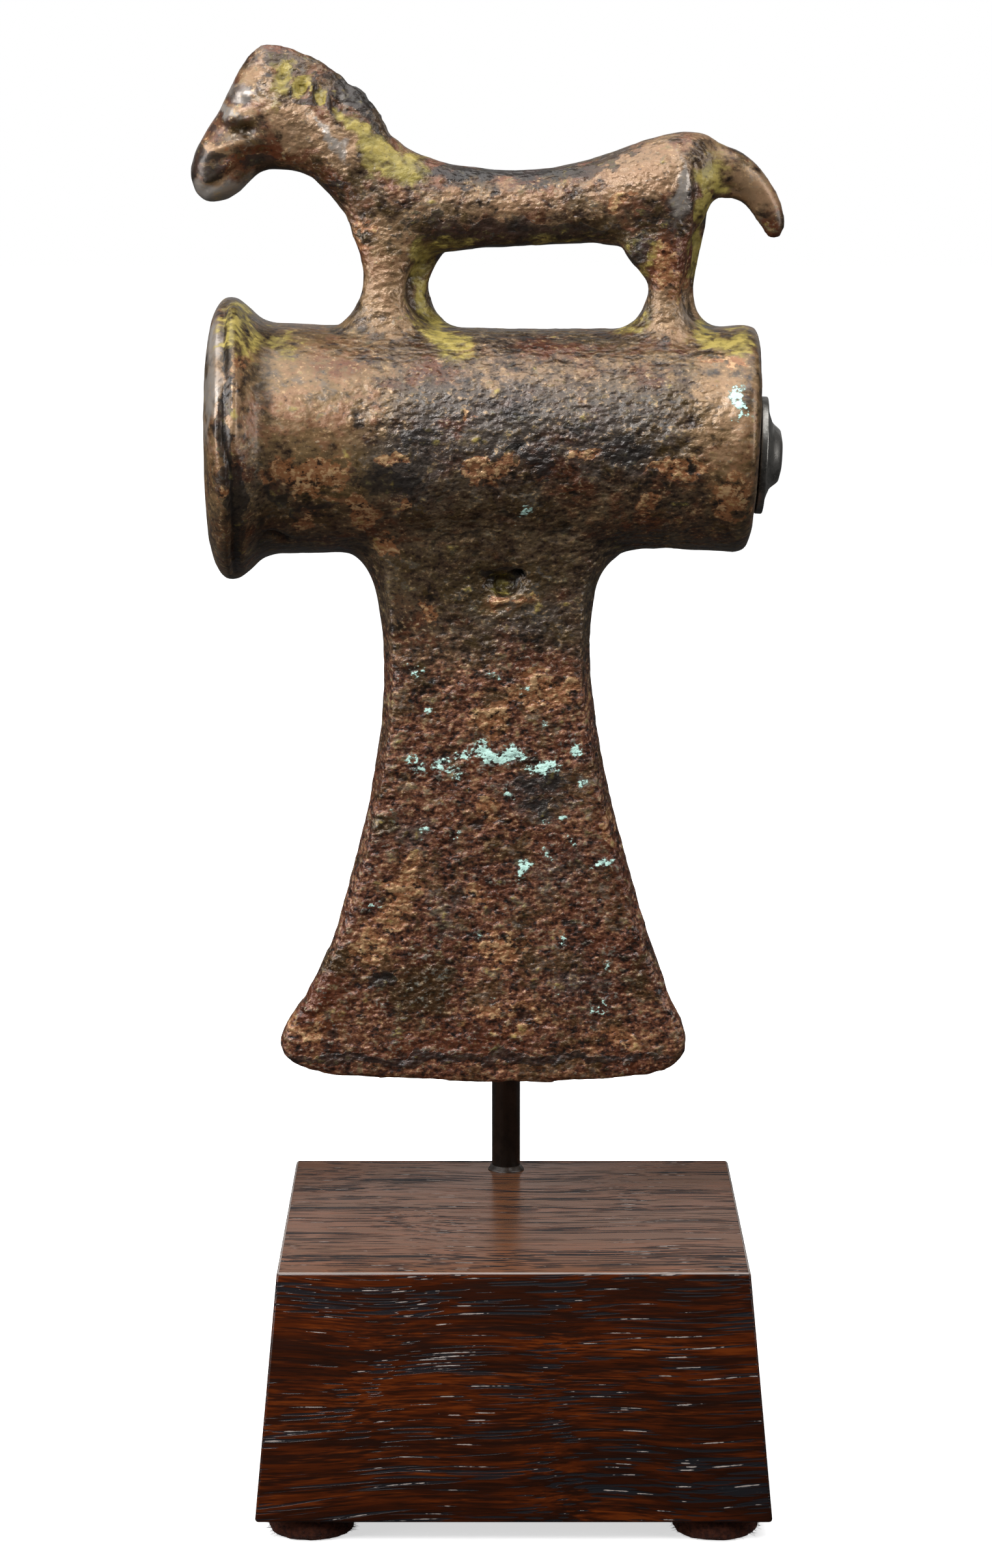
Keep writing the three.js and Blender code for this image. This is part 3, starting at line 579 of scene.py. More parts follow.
def patina_of(places, kind):
    """The strength of one deposit or painted mark. The far side of the tube and blade carries the same ones,
    turned about.
    """
    wandered = places.copy()
    for axis, shift in ((0, 51.0), (2, 67.0)):
        wandered[:, axis] += 1.6 * rough(places, 3.4, 3, shift)
    far = eased(places[:, 1], -3, 3) * eased(-places[:, 2], -17, -13)
    total = np.zeros(len(places))
    for side, share in ((1, 1 - far), (-1, far)):
        seen = wandered * np.array([side, 1, 1])
        strength = np.zeros(len(places))
        for x, z, along, across, turn, power in PATINA[kind]:
            distance = near_patch(seen, (x, z), (along, across), turn)
            strength = np.maximum(strength, power * np.clip(1 - 0.5 * distance ** 1.5, 0, 1))
        total += share * strength
    return total


def make_casting(settings):
    """The casting's mesh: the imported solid, remeshed fine, softened, sculpted and marked for its patina."""
    shape = bmesh.new()
    shape.from_mesh(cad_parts["axe_head"].data)
    bmesh.ops.remove_doubles(shape, verts=shape.verts, dist=1e-6)
    start = bpy.data.meshes.new("bronze_axe_head")
    shape.to_mesh(start)
    shape.free()
    piece = bpy.data.objects.new("bronze_axe_head", start)
    bpy.context.scene.collection.objects.link(piece)
    remesh = piece.modifiers.new("Remesh", "REMESH")
    remesh.mode = "VOXEL"
    remesh.voxel_size = settings.voxel
    with_modifiers(piece)

    skin = Skin(piece.data)
    skin.smooth(14, 0.5, keep=0.9)
    places = skin.places
    roots = np.maximum.reduce([
        bump_of(near_patch(places, (-13, 16.5), (13, 4.5))),
        bump_of(near_patch(places, (27, 16.5), (12, 4.5))),
        bump_of(near_patch(places, (-13, 29), (9, 5))),
        bump_of(near_patch(places, (27, 29), (8, 6))),
        bump_of(near_patch(places, (34, 40), (4, 6))),
        bump_of(near_patch(places, (-20, -17), (12, 7))),
        bump_of(near_patch(places, (21, -17), (12, 7))),
        bump_of(near_patch(places, (0, -16), (26, 7))),
    ])
    skin.smooth(40, 0.5 * eased(roots, 0, 0.6), keep=0.3)

    places, normals = skin.places, skin.normals()
    skin.raise_by(horse_relief(places, normals) + collar_relief(places))
    places, normals = skin.places, skin.normals()
    skin.raise_by(flaw_relief(places, normals))

    places, normals = skin.places, skin.normals()
    grain = grain_of(places)
    height = corroded_relief(places, grain) * settings.relief
    show = eased(-normals[:, 1], 0.1, 0.4)
    for middle, reach, turn, depth in PITS:
        height -= show * depth * bump_of(near_patch(places, middle, reach, turn) / 1.2)
    height += scattered_pits(skin, normals, grain, settings.pits, 5)
    outer = eased(np.hypot(places[:, 1], places[:, 2] + 1), 12.6, 13.6)
    inside = (np.abs(places[:, 0]) < 43) & (outer < 1) & (np.abs(places[:, 2]) < 14)
    height[inside] *= 0.4
    skin.raise_by(height - 0.1)
    skin.points = np.clip(skin.points, np.array(AXE_LOW), np.array(AXE_HIGH))
    normals = skin.normals()
    for name, rounds, span in (("fine", 3, 0.07), ("broad", 24, 0.5)):
        mean = skin.points.copy()
        for _ in range(rounds):
            mean = skin.averaged(mean)
        hollow = np.sum((mean - skin.points) * normals, axis=1) / MM
        skin.write(f"{name}_hollow", 0.5 + 0.5 * hollow / span)
    for kind in PATINA:
        skin.write(kind, patina_of(skin.places, kind))
    skin.write("grain", grain)
    skin.write("blade", eased(-skin.places[:, 2], 18, 46))
    skin.write("horse", eased(skin.places[:, 2], 17, 24))
    return piece


# ------------------------------------------------------------------ materials

# Noises of the bronze: size in millimetres, detail, roughness, distortion, shift. The real crust is finer
# than the grit and the lumps, which are drawn as coarse as they need to be to show.
BRONZE_NOISES = {
    "cloud": (8.0, 3.0, 0.6, 0.2, 0.0),
    "drift": (6.0, 3.0, 0.6, 0.4, 70.0),
    "patch": (2.6, 4.0, 0.62, 0.2, 40.0),
    "shred": (1.2, 3.0, 0.62, 0.0, 90.0),
    "grit": (0.5, 2.0, 0.6, 0.0, 150.0),
    "lump": (1.15, 1.0, 0.5, 0.0, 200.0),
}

# Grounds: what makes the tone, and the colours along it, for the tube with the horse and for the blade.
BRONZE_GROUNDS = (
    ({"cloud": 0.25, "patch": 0.35, "shred": 0.3, "grit": 0.2},
     ((0.44, "bark"), (0.50, "umber"), (0.56, "drab"), (0.64, "tan"), (0.76, "sand"))),
    ({"cloud": 0.15, "patch": 0.2, "shred": 0.45, "grit": 0.4},
     ((0.47, "soot"), (0.53, "plum"), (0.60, "russet"), (0.67, "rose"), (0.74, "sand"))),
)

# Layers of the patina, with painted highlight and painted shade among them, from the ground up: name, colour,
# what places it, where it fades in, its cover.
BRONZE_LAYERS = (
    ("rust_drift", "rust", {"drift": 1.0, "shred": 0.6}, (0.8, 0.98), 0.6),
    ("olive_drift", "moss", {"drift": -1.0, "shred": 0.6}, (-0.2, -0.06), 0.6),
    ("warm_drift", "cinnamon", {"horse": 0.4, "patch": 1.0, "drift": 0.6, "lump": 0.3}, (1.26, 1.5), 0.75),
    ("slate_mask", "slate", {"slate": 1.0, "patch": 1.8, "shred": 1.2}, (1.65, 2.2), 0.75),
    ("honey_mask", "honey", {"honey": 1.0, "patch": 1.6, "shred": 1.2}, (1.5, 2.1), 0.7),
    ("honey_drift", "cinnamon", {
        "honey": 0.3, "patch": 1.0, "cloud": -0.7, "lump": 0.3}, (0.44, 0.66), 0.6),
    ("grey_drift", "haze", {"honey": 0.3, "patch": -1.0, "cloud": 0.8, "lump": 0.4}, (0.4, 0.6), 0.5),
    ("gold_mask", "sand", {"honey": 1.0, "patch": 0.8, "shred": 1.2}, (2.3, 2.8), 0.8),
    # pinkish tan of worn places, partly a painted highlight
    ("flesh_mask", "flesh", {"rub": 1.0, "patch": 2.0, "shred": 1.4}, (1.85, 2.5), 0.7),
    ("rust_mask", "rust", {"rust": 1.0, "patch": 1.6, "shred": 1.0}, (1.6, 2.1), 0.8),
    ("olive_mask", "olive", {"olive": 1.0, "patch": 1.4, "shred": 0.8}, (1.4, 1.8), 0.8),
    ("slate_fleck", "haze", {"shred": 1.0, "drift": -0.5, "patch": 0.5}, (0.58, 0.7), 0.45),
    ("green_fleck", "verdigris", {
        "grit": 1.0, "lump": 0.5, "drift": 0.5, "blade": 0.08, "mint": 0.14}, (1.2, 1.34), 0.6),
    ("olive_fleck", "moss", {"lump": 1.0, "patch": -0.6, "drift": -0.4, "grit": 0.4}, (0.34, 0.46), 0.5),
    ("copper_mask", "copper", {"copper": 1.0, "patch": 1.8, "shred": 0.9}, (1.76, 1.9), 0.75),
    ("copper_scab", "bark", {"copper_mask": 0.8, "shred": -1.4, "grit": -0.8}, (-0.46, -0.24), 0.85),
    ("copper_grain", "sand", {"copper_mask": 0.8, "lump": 1.2, "grit": 1.2}, (1.74, 2.06), 0.8),
    # near-black crust, with painted shade in creases, pits and the flaw's hole
    ("black_crust_and_shade_mask", "char", {"char": 1.0, "patch": 1.8, "shred": 0.9}, (1.78, 1.95), 0.75),
    # painted silver highlight laid over the patina
    ("painted_silver_highlight_mask", "pewter", {"pewter": 1.0, "patch": 0.5}, (0.5, 1.15), 0.85),
    ("pale_grit", "sand", {"grit": 1.0, "shred": 0.6, "black_crust_and_shade_mask": -0.2}, (0.88, 1.06), 0.5),
    ("dark_grit", "soot", {
        "grit": 1.0, "shred": 0.6, "horse": 0.05, "pewter": 0.2, "honey": 0.08}, (0.74, 0.58), 0.6),
    # near-black laid in the mesh's fine and broad hollows
    ("hollow_darkening", "soot", {
        "fine_hollow": 0.6, "broad_hollow": 0.5, "shred": 0.7, "horse": -0.18, "olive": -0.12,
        "pewter": -0.3}, (1.0, 1.3), 0.75),
    ("lime_stain", "moss", {"lime": 1.0, "patch": 1.0, "shred": 0.8}, (1.0, 1.6), 0.6),
    ("lime_mask", "lime", {"lime": 1.0, "patch": 1.3, "shred": 1.6}, (1.6, 2.4), 0.85),
    ("lime_core", "mustard", {"lime_mask": 0.6, "patch": 1.4, "lump": 1.2}, (1.6, 2.0), 0.6),
    ("lime_speck", "moss", {"lime_mask": -0.8, "shred": 1.0, "grit": 1.0}, (0.24, 0.12), 0.6),
    ("mint_halo", "teal", {"mint": 1.6, "shred": 2.2, "grit": 2.0}, (2.9, 3.3), 0.65),
    ("mint_mask", "mint", {"mint": 1.6, "shred": 2.2, "grit": 2.0}, (3.15, 3.35), 1.0),
)


def bronze_material(settings):
    """Cast tin bronze under a waxed brown patina: a soft silvery gloss over brown, near-black and tan, with
    powdery yellow-green and pale blue-green corrosion products that stay matt. Its colour also holds painted
    silver highlights, and painted shade in creases, pits and the flaw."""
    material, tree, shader = new_material("cast_bronze_waxed_patina")
    place = place_in_mm(tree, (0.75, 1.0, 1.0))
    fields = fields_of(tree, place, BRONZE_NOISES, (
        "fine_hollow", "broad_hollow", "grain", "blade", "horse", *PATINA))
    colours = named_values(settings)

    grounds = [add_node(tree, "ShaderNodeValToRGB", {
        "stops": [(spot, colours[name]) for spot, name in stops]},
        {"Fac": weighed(tree, fields, tone)}).outputs["Color"] for tone, stops in BRONZE_GROUNDS]
    ground = add_node(tree, "ShaderNodeMix", {"data_type": "RGBA"}, {
        0: mask_of(tree, fields, {"blade": 1.0, "patch": 1.4, "shred": 0.8}, (1.35, 1.9)),
        6: grounds[0], 7: grounds[1]}).outputs[2]
    colour = layered(tree, fields, ground, BRONZE_LAYERS, colours)
    powder = {"lime_mask": 1.0, "mint_halo": 1.0}
    gloss = {"patch": 0.8, "shred": 0.5, "lime_mask": 0.5, "mint_halo": 0.5, "olive_mask": -0.15,
             "slate_mask": -0.1, "painted_silver_highlight_mask": -0.2, "grain": 0.15}
    height = weighed(tree, fields, {
        "lump": 1.5, "shred": 0.6, "grit": 0.3, "mint_mask": 0.1, "copper_mask": -0.1, "black_crust_and_shade_mask": 0.12})
    rise = {"grain": 1.0, "lime_mask": -0.1, "painted_silver_highlight_mask": -0.3}
    strength = mask_of(tree, fields, rise, (0.0, 1.0), (0.1, 1.0))
    bump = add_node(tree, "ShaderNodeBump", links={
        "Height": height, "Strength": strength, "Distance": settings.crust}).outputs["Normal"]
    feed(tree, shader, {
        "Base Color": colour, "Coat Weight": settings.wax, "Coat Roughness": 0.26,
        "Metallic": mask_of(tree, fields, powder, (0.0, 0.8), (settings.bare, 0.0)),
        "Roughness": mask_of(tree, fields, gloss, (0.4, 1.1), (0.3, 0.64)),
        "Normal": bump, "Coat Normal": bump})
    return material


# Vessels of the wood: length and width of the cell that holds one, in millimetres, turn about Y, and how
# far one reaches from its cell's middle, as a share. Real ones are about 0.2 mm wide, and too fine to show:
# these are 0.3 to 0.4 mm wide.
VESSELS = (
    (30.0, 0.62, 0.03, 0.29),
    (38.0, 0.70, 0.07, 0.27),
    (24.0, 0.55, 0.00, 0.27),
)


def wood_material(settings):
    """Wenge under a polished lacquer: deep red-brown with near-black figure along X, and long thin pores,
    dark and blue-grey. Painted glints run along some pores, a painted sheen lightens the upper face, and a
    painted highlight runs along the upper edges."""
    material, tree, shader = new_material("wenge_polished_lacquer")
    colours = named_values(settings)
    place = place_in_mm(tree)
    sway = add_node(tree, "ShaderNodeTexNoise", links={"Vector": place, "Scale": 1 / 40, "Detail": 1.0})
    waved = add_node(tree, "ShaderNodeVectorMath", {"operation": "MULTIPLY_ADD"}, {
        0: sway.outputs["Color"], 1: (0.0, 6.0, 6.0), 2: place}).outputs[0]
    pulled = add_node(tree, "ShaderNodeMapping", links={"Vector": waved, "Scale": (0.05, 1.0, 1.0)})
    fields = fields_of(tree, pulled.outputs[0], {
        "figure": (3.6, 4.0, 0.6, 0.2, 0.0),
        "streak": (1.0, 4.0, 0.62, 0.1, 20.0),
        "fibre": (0.32, 3.0, 0.6, 0.0, 50.0),
        "crowd": (3.2, 2.0, 0.5, 0.0, 60.0),
    })
    halved = add_node(tree, "ShaderNodeMapping", links={"Vector": waved, "Scale": (0.6, 1.0, 1.0)})
    fields.update(fields_of(tree, halved.outputs[0], {"bead": (0.7, 2.0, 0.6, 0.0, 30.0)}))
    coordinates = add_node(tree, "ShaderNodeTexCoord")
    fields["up"] = add_node(tree, "ShaderNodeSeparateXYZ", links={
        "Vector": coordinates.outputs["Normal"]}).outputs["Z"]
    layers = [
        ("dark_figure", "wood_dark", {"figure": 1.0, "streak": 0.7}, (0.76, 0.98), 0.75),
        ("dark_fibre", "wood_dark", {"fibre": 1.0, "streak": 0.7}, (0.78, 0.98), 0.75),
        ("bright_fibre", "wood_bright", {"fibre": 1.0, "figure": 0.8}, (0.86, 0.66), 0.45),
        # painted sheen: the upward-facing top lighter, standing in for reflected light
        ("painted_top_sheen", "bloom", {"up": 1.0}, (0.9, 0.98), 0.42),
    ]
    glints = []
    for number, (run, across, turn, reach) in enumerate(VESSELS):
        slanted = add_node(tree, "ShaderNodeMapping", links={
            "Vector": waved, "Rotation": (0.0, turn, 0.0)})
        cell = add_node(tree, "ShaderNodeMapping", links={
            "Vector": slanted.outputs[0], "Scale": (1 / run, 1 / across, 1 / across)})
        cells = add_node(tree, "ShaderNodeTexVoronoi", {"feature": "F1"}, {
            "Vector": cell.outputs[0], "Scale": 1.0})
        kinds = add_node(tree, "ShaderNodeSeparateColor", links={"Color": cells.outputs["Color"]})
        fields[f"apart{number}"] = cells.outputs["Distance"]
        fields[f"kind{number}"] = kinds.outputs[0]
        layers.append((f"pore{number}", "pore_dark", {
            f"apart{number}": -1.0, "crowd": 0.8, "bead": 0.1}, (0.43 - reach, 0.5 - reach), 0.9))
        # painted glints: short silver lines along the pores
        glints.append((f"glint{number}", "pore_silver", {
            f"apart{number}": -4.5, f"kind{number}": 0.8, "bead": 1.4, "crowd": 0.4, "up": -0.05},
            (1.0, 1.16), 0.9))
    # painted highlight: a silver line along the plinth's upper edges, where the top turns down
    edge = ("arris", "pore_silver", {"up": 3.0, "painted_top_sheen": -9.0, "crowd": 2.5}, (2.4, 3.8), 0.8)
    colour = layered(tree, fields, rgba(settings.wood_red), (*layers, *glints, edge), colours)
    open_pores = {"pore0": 1.0, "pore1": 1.0, "pore2": 1.0}
    height = weighed(tree, fields, {"pore0": -1.0, "pore1": -1.0, "pore2": -1.0, "streak": -0.25})
    bump = add_node(tree, "ShaderNodeBump", links={
        "Height": height, "Strength": 0.4, "Distance": 0.12 * MM})
    feed(tree, shader, {
        "Base Color": colour, "IOR": 1.4, "Normal": bump.outputs["Normal"],
        "Specular IOR Level": mask_of(tree, fields, open_pores, (0.1, 0.9), (0.44, 0.05)),
        "Roughness": mask_of(tree, fields, {"streak": 1.0}, (0.3, 0.7), (0.18, 0.3))})
    return material


def steel_material(name, colour, metallic, roughness, wear):
    """Steel, painted or turned: dark, with a narrow soft highlight, smudges and fine flecks."""
    material, tree, shader = new_material(name)
    fields = fields_of(tree, place_in_mm(tree), {
        "smudge": (2.5, 5.0, 0.65, 0.0, 0.0),
        "fleck": (0.4, 2.0, 0.5, 0.0, 0.0),
    })
    colours = {"dark": [0.45 * c for c in colour], "worn": [min(1.0, 1.9 * c) for c in colour]}
    shade = layered(tree, fields, rgba(colour), (
        ("dark_smudge", "dark", {"smudge": 1.0}, (0.4, 0.62), 1.0),
        ("worn_fleck", "worn", {"fleck": 1.0, "smudge": 0.6}, (0.9, 1.0), wear),
    ), colours)
    bump = add_node(tree, "ShaderNodeBump", links={
        "Height": fields["fleck"], "Strength": 0.25, "Distance": 0.06 * MM})
    feed(tree, shader, {
        "Base Color": shade, "Metallic": metallic, "Normal": bump.outputs["Normal"],
        "Roughness": mask_of(
            tree, fields, {"smudge": 1.0}, (0.3, 0.7), (roughness - 0.08, roughness + 0.1))})
    return material


def felt_material(settings):
    """Pressed wool felt: matt dark brown, paler on the raised tufts of its bump and darker between them."""
    material, tree, shader = new_material("pressed_wool_felt")
    fields = fields_of(tree, place_in_mm(tree), {"tuft": (0.8, 5.0, 0.7, 0.0, 0.0)})
    shade = layered(tree, fields, rgba(settings.felt_dark), (
        ("tufts", "felt_light", {"tuft": 1.0}, (0.35, 0.65), 1.0),
    ), {"felt_light": settings.felt_light})
    bump = add_node(tree, "ShaderNodeBump", links={
        "Height": fields["tuft"], "Strength": 0.6, "Distance": 0.3 * MM})
    feed(tree, shader, {
        "Base Color": shade, "Roughness": 0.95, "Sheen Weight": 0.05, "Sheen Roughness": 0.5,
        "Specular IOR Level": 0.2, "Normal": bump.outputs["Normal"]})
    return material


# ------------------------------------------------------------------ settings

def length(name, description, default, **limits):
    """A length property, in metres."""
    return bpy.props.FloatProperty(
        name=name, description=description, default=default, unit="LENGTH", precision=5, **limits)


def colour_property(name, description, hex_colour):
    """A colour property with a default from a hex text."""
    return bpy.props.FloatVectorProperty(
        name=name, description=description, default=linear(hex_colour), subtype="COLOR",
        size=3, min=0.0, max=1.0)


class AxeCastingSettings(bpy.types.PropertyGroup):
    """Sizes and colours of the bronze casting."""

    voxel: length("Grid", "Spacing of the casting's fine mesh", 0.62 * MM, min=0.4 * MM)
    relief: bpy.props.FloatProperty(
        name="Relief", description="Strength of the corroded relief", default=1.0, min=0.0, max=2.0)
    pits: bpy.props.IntProperty(
        name="Pits", description="Number of small chance pits", default=200, min=0)
    wax: bpy.props.FloatProperty(
        name="Wax", description="Weight of the wax over the patina", default=0.38, subtype="FACTOR",
        min=0.0, max=1.0)
    crust: length("Crust", "Height of the fine granular relief", 0.45 * MM, min=0.0)
    bare: bpy.props.FloatProperty(
        name="Bare Metal", description="How metallic the patina looks", default=0.45, subtype="FACTOR",
        min=0.0, max=1.0)
    bark: colour_property("Bark", "Near-black brown", "#251b13")
    umber: colour_property("Umber", "Brown ground of the tube and the horse", "#433123")
    drab: colour_property("Drab", "Greyish brown ground", "#594835")
    tan: colour_property("Tan", "Paler ground of the tube and the horse", "#705c40")
    plum: colour_property("Plum", "Dark reddish ground of the blade", "#3d2319")
    russet: colour_property("Russet", "Red-brown ground of the blade", "#683e2b")
    rose: colour_property("Rose", "Pinkish brown oxide on the blade", "#9c6c4e")
    sand: colour_property("Sand", "Palest grains", "#bc996f")
    # also used for painted highlights on lit high places
    flesh: colour_property("Flesh", "Pinkish tan of rubbed high places", "#967859")
    honey: colour_property("Honey", "Smooth waxed olive-tan", "#7a603c")
    # colour of the painted silver highlight, standing in for reflected light
    pewter: colour_property("Pewter", "Silvery grey of the smoothest places", "#9c948c")
    slate: colour_property("Slate", "Blue-grey crust", "#453f3c")
    verdigris: colour_property("Verdigris", "Grey-green flecks, mostly on the blade", "#76807a")
    cinnamon: colour_property("Cinnamon", "Warm red-brown, mostly on the horse", "#764830")
    haze: colour_property("Haze", "Grey-blue flecks in the brown", "#5d5a58")
    rust: colour_property("Rust", "Red-brown oxide", "#58290f")
    moss: colour_property("Moss", "Olive tinge in the brown", "#4b3a1a")
    # near-black, laid in the hollows, in fine grit and in the blade's darkest ground
    soot: colour_property("Soot", "Dirt in the hollows", "#140f0b")
    # also used for painted shade in creases, pits and the flaw's hole
    char: colour_property("Char", "Near-black crust", "#1b1817")
    olive: colour_property("Olive", "Glassy dark olive patina", "#37280d")
    copper: colour_property("Copper", "Bare orange oxide", "#8f5c38")
    lime: colour_property("Lime", "Powdery yellow-green deposit", "#8d7f35")
    mustard: colour_property("Mustard", "Yellower parts of the lime deposit", "#ae9a4e")
    mint: colour_property("Mint", "Pale blue-green deposit", "#bfe6da")
    teal: colour_property("Teal", "Darker edge of the mint deposit", "#5c7a74")


class AxeStandSettings(bpy.types.PropertyGroup):
    """Sizes and colours of the stand."""

    rod_radius: length("Rod Radius", "Radius of the upright rod", 2.25 * MM, min=0.5 * MM)
    arm_radius: length("Arm Radius", "Radius of the rod where it meets the cap", 1.5 * MM, min=0.5 * MM)
    rod_bend: length("Rod Bend", "Bend radius behind the tube", 8.0 * MM, min=3 * MM)
    arm_bend: length("Arm Bend", "Bend radius beside the cap", 4.0 * MM, min=2 * MM)
    socket: length("Socket", "Depth of the rod's hole in the plinth", 12.0 * MM, min=0.0)
    rod_colour: colour_property("Rod", "Satin dark brown paint", "#2b221c")
    steel: colour_property("Steel", "Turned steel of the end cap", "#8f8c87")
    arris: length("Arris", "Rounding of the plinth's edges", 0.5 * MM, min=0.05 * MM)
    fuzz: length("Fuzz", "Length of the felt's loose fibres", 0.9 * MM, min=0.0)
    wood_dark: colour_property("Dark Wood", "Dark figure of the wood", "#180803")
    wood_red: colour_property("Red Wood", "Red-brown ground of the wood", "#421905")
    wood_bright: colour_property("Bright Wood", "Orange glow in the wood", "#6f320b")
    pore_dark: colour_property("Dark Pore", "Open pores", "#1b1c1f")
    # colour of the painted sheen on the upper face, standing in for reflected light
    bloom: colour_property("Bloom", "Milky bloom of the lacquer on the upper face", "#845c42")
    # colour of the painted glints in the pores and the painted highlight on the edges
    pore_silver: colour_property("Silver Pore", "Pores filled with finish", "#9f958f")
    felt_dark: colour_property("Dark Felt", "Felt in its hollows", "#2a1008")
    felt_light: colour_property("Pale Felt", "Felt on its tufts", "#4c2617")


class AxeStageSettings(bpy.types.PropertyGroup):
    """The camera's place and the studio around the object."""

    aside: length("Aside", "Camera to the right of the plinth's middle", -2.6 * MM)
    back: length("Back", "Camera in front of the plinth's middle", 691.7 * MM, min=0.1)
    above: length("Above", "Camera over the plinth's underside", 214.0 * MM)
    pitch: bpy.props.FloatProperty(
        name="Pitch", description="Angle that the camera looks down", default=math.radians(9.04),
        subtype="ANGLE", unit="ROTATION")
    lens: bpy.props.FloatProperty(
        name="Lens", description="Focal length in millimetres", default=106.07, min=20.0)
    paper: colour_property("Paper", "Floor of the studio", "#f2f2f2")


# ------------------------------------------------------------------ operators

def declare(piece, node=None):
    """Sets a piece on its body and the CAD node that it stands for."""
    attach(piece, BODY)
    if node:
        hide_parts(node)


class AXE_OT_casting(bpy.types.Operator):
    """Makes the bronze casting: shaft tube, blade and horse in one"""

    bl_idname = "axe_stand.casting"
    bl_label = "Bronze Casting"

    def execute(self, context):
        settings = context.scene.axe_casting
        piece = make_casting(settings)
        piece.data.materials.clear()
        piece.data.materials.append(bronze_material(settings))
        piece.data.shade_smooth()
        declare(piece, "axe_head")
        return {"FINISHED"}


class AXE_OT_end_cap(bpy.types.Operator):
    """Makes the turned cap in the right end of the tube"""

    bl_idname = "axe_stand.end_cap"
    bl_label = "End Cap"

    def execute(self, context):
        lean = math.radians(2.9)  # the tube's end is cut a little out of square
        radius, rim, boss, reach = 8.9 * MM, 1.2 * MM, 4.5 * MM, 3.8 * MM
        spigot, spigot_end, depth = 8.3 * MM, 7.4 * MM, 20 * MM
        soft = 0.25 * MM  # rounding of the rim's edges
        profile = [(0, -depth), (spigot_end, -depth), (spigot, -1 * MM), (spigot, 0),
                   *arc((radius - soft, soft), soft, -90, 0, 4),
                   *arc((radius - soft, rim - soft), soft, 0, 90, 4)]
        fall = Vector((radius - 0.5 * MM, rim)), Vector((boss + 0.9 * MM, rim + 0.75 * MM))
        dome = Vector((boss - 0.9 * MM, reach - 0.35 * MM))
        for i in range(1, 9):
            share = i / 8
            height = fall[0].y + (fall[1].y - fall[0].y) * share ** 1.7
            profile.append((fall[0].x + (fall[1].x - fall[0].x) * share, height))
        for i in range(1, 8):
            share = i / 7
            profile.append((fall[1].x + (dome.x - fall[1].x) * share,
                            fall[1].y + (dome.y - fall[1].y) * share * share * (3 - 2 * share)))
        profile += [(boss * 0.5, reach - 0.06 * MM), (boss * 0.25, reach), (0, reach)]
        turn = Matrix.Rotation(math.pi / 2 + lean, 4, "Y")
        middle = Vector((CAP_HIGH.x - reach * math.cos(lean), (CAP_LOW.y + CAP_HIGH.y) / 2, 0))
        middle.z = CAP_HIGH.z - radius * math.cos(lean) + rim * math.sin(lean)
        shape = turned(profile, 96, middle, turn)
        piece = add_piece("turned_end_cap", mesh_from("turned_end_cap", shape), steel_material(
            "turned_mild_steel", context.scene.axe_stand.steel, 0.85, 0.34, 0.3))
        declare(piece, "end_cap")
        return {"FINISHED"}


class AXE_OT_rod(bpy.types.Operator):
    """Makes the bent rod that holds the axe up, and the glue round its foot"""

    bl_idname = "axe_stand.rod"
    bl_label = "Mount Rod"

    def execute(self, context):
        settings = context.scene.axe_stand
        material = steel_material("satin_painted_steel", settings.rod_colour, 0.2, 0.4, 0.1)
        mesh = mesh_from("painted_mount_rod", rod_shape(settings))
        piece = add_piece("painted_mount_rod", mesh, material)
        declare(piece, "mount_rod")

        foot, reach = rod_foot(settings), settings.rod_radius
        profile = [(reach - 0.2 * MM, -0.3 * MM), (reach + 0.75 * MM, -0.05 * MM),
                   (reach + 0.62 * MM, 0.2 * MM), (reach + 0.3 * MM, 0.42 * MM),
                   (reach + 0.1 * MM, 0.75 * MM), (reach - 0.2 * MM, 0.85 * MM),
                   (reach - 0.2 * MM, -0.3 * MM)]
        shape = turned(profile, 48, foot, Matrix.Identity(4))
        for vert in shape.verts:
            out = vert.co - foot
            if out.xy.length > reach:
                swell = noise.noise(vert.co / (1.6 * MM)) * 0.35 * MM
                vert.co += Vector((out.x, out.y, 0)).normalized() * swell
        bead = add_piece("glue_bead", mesh_from("glue_bead", shape), material)
        declare(bead)
        return {"FINISHED"}


def rod_foot(settings):
    """Where the rod's middle line comes out of the plinth."""
    return Vector((ROD_LOW.x + settings.rod_radius, ROD_HIGH.y - settings.rod_radius, PLINTH_HIGH.z))


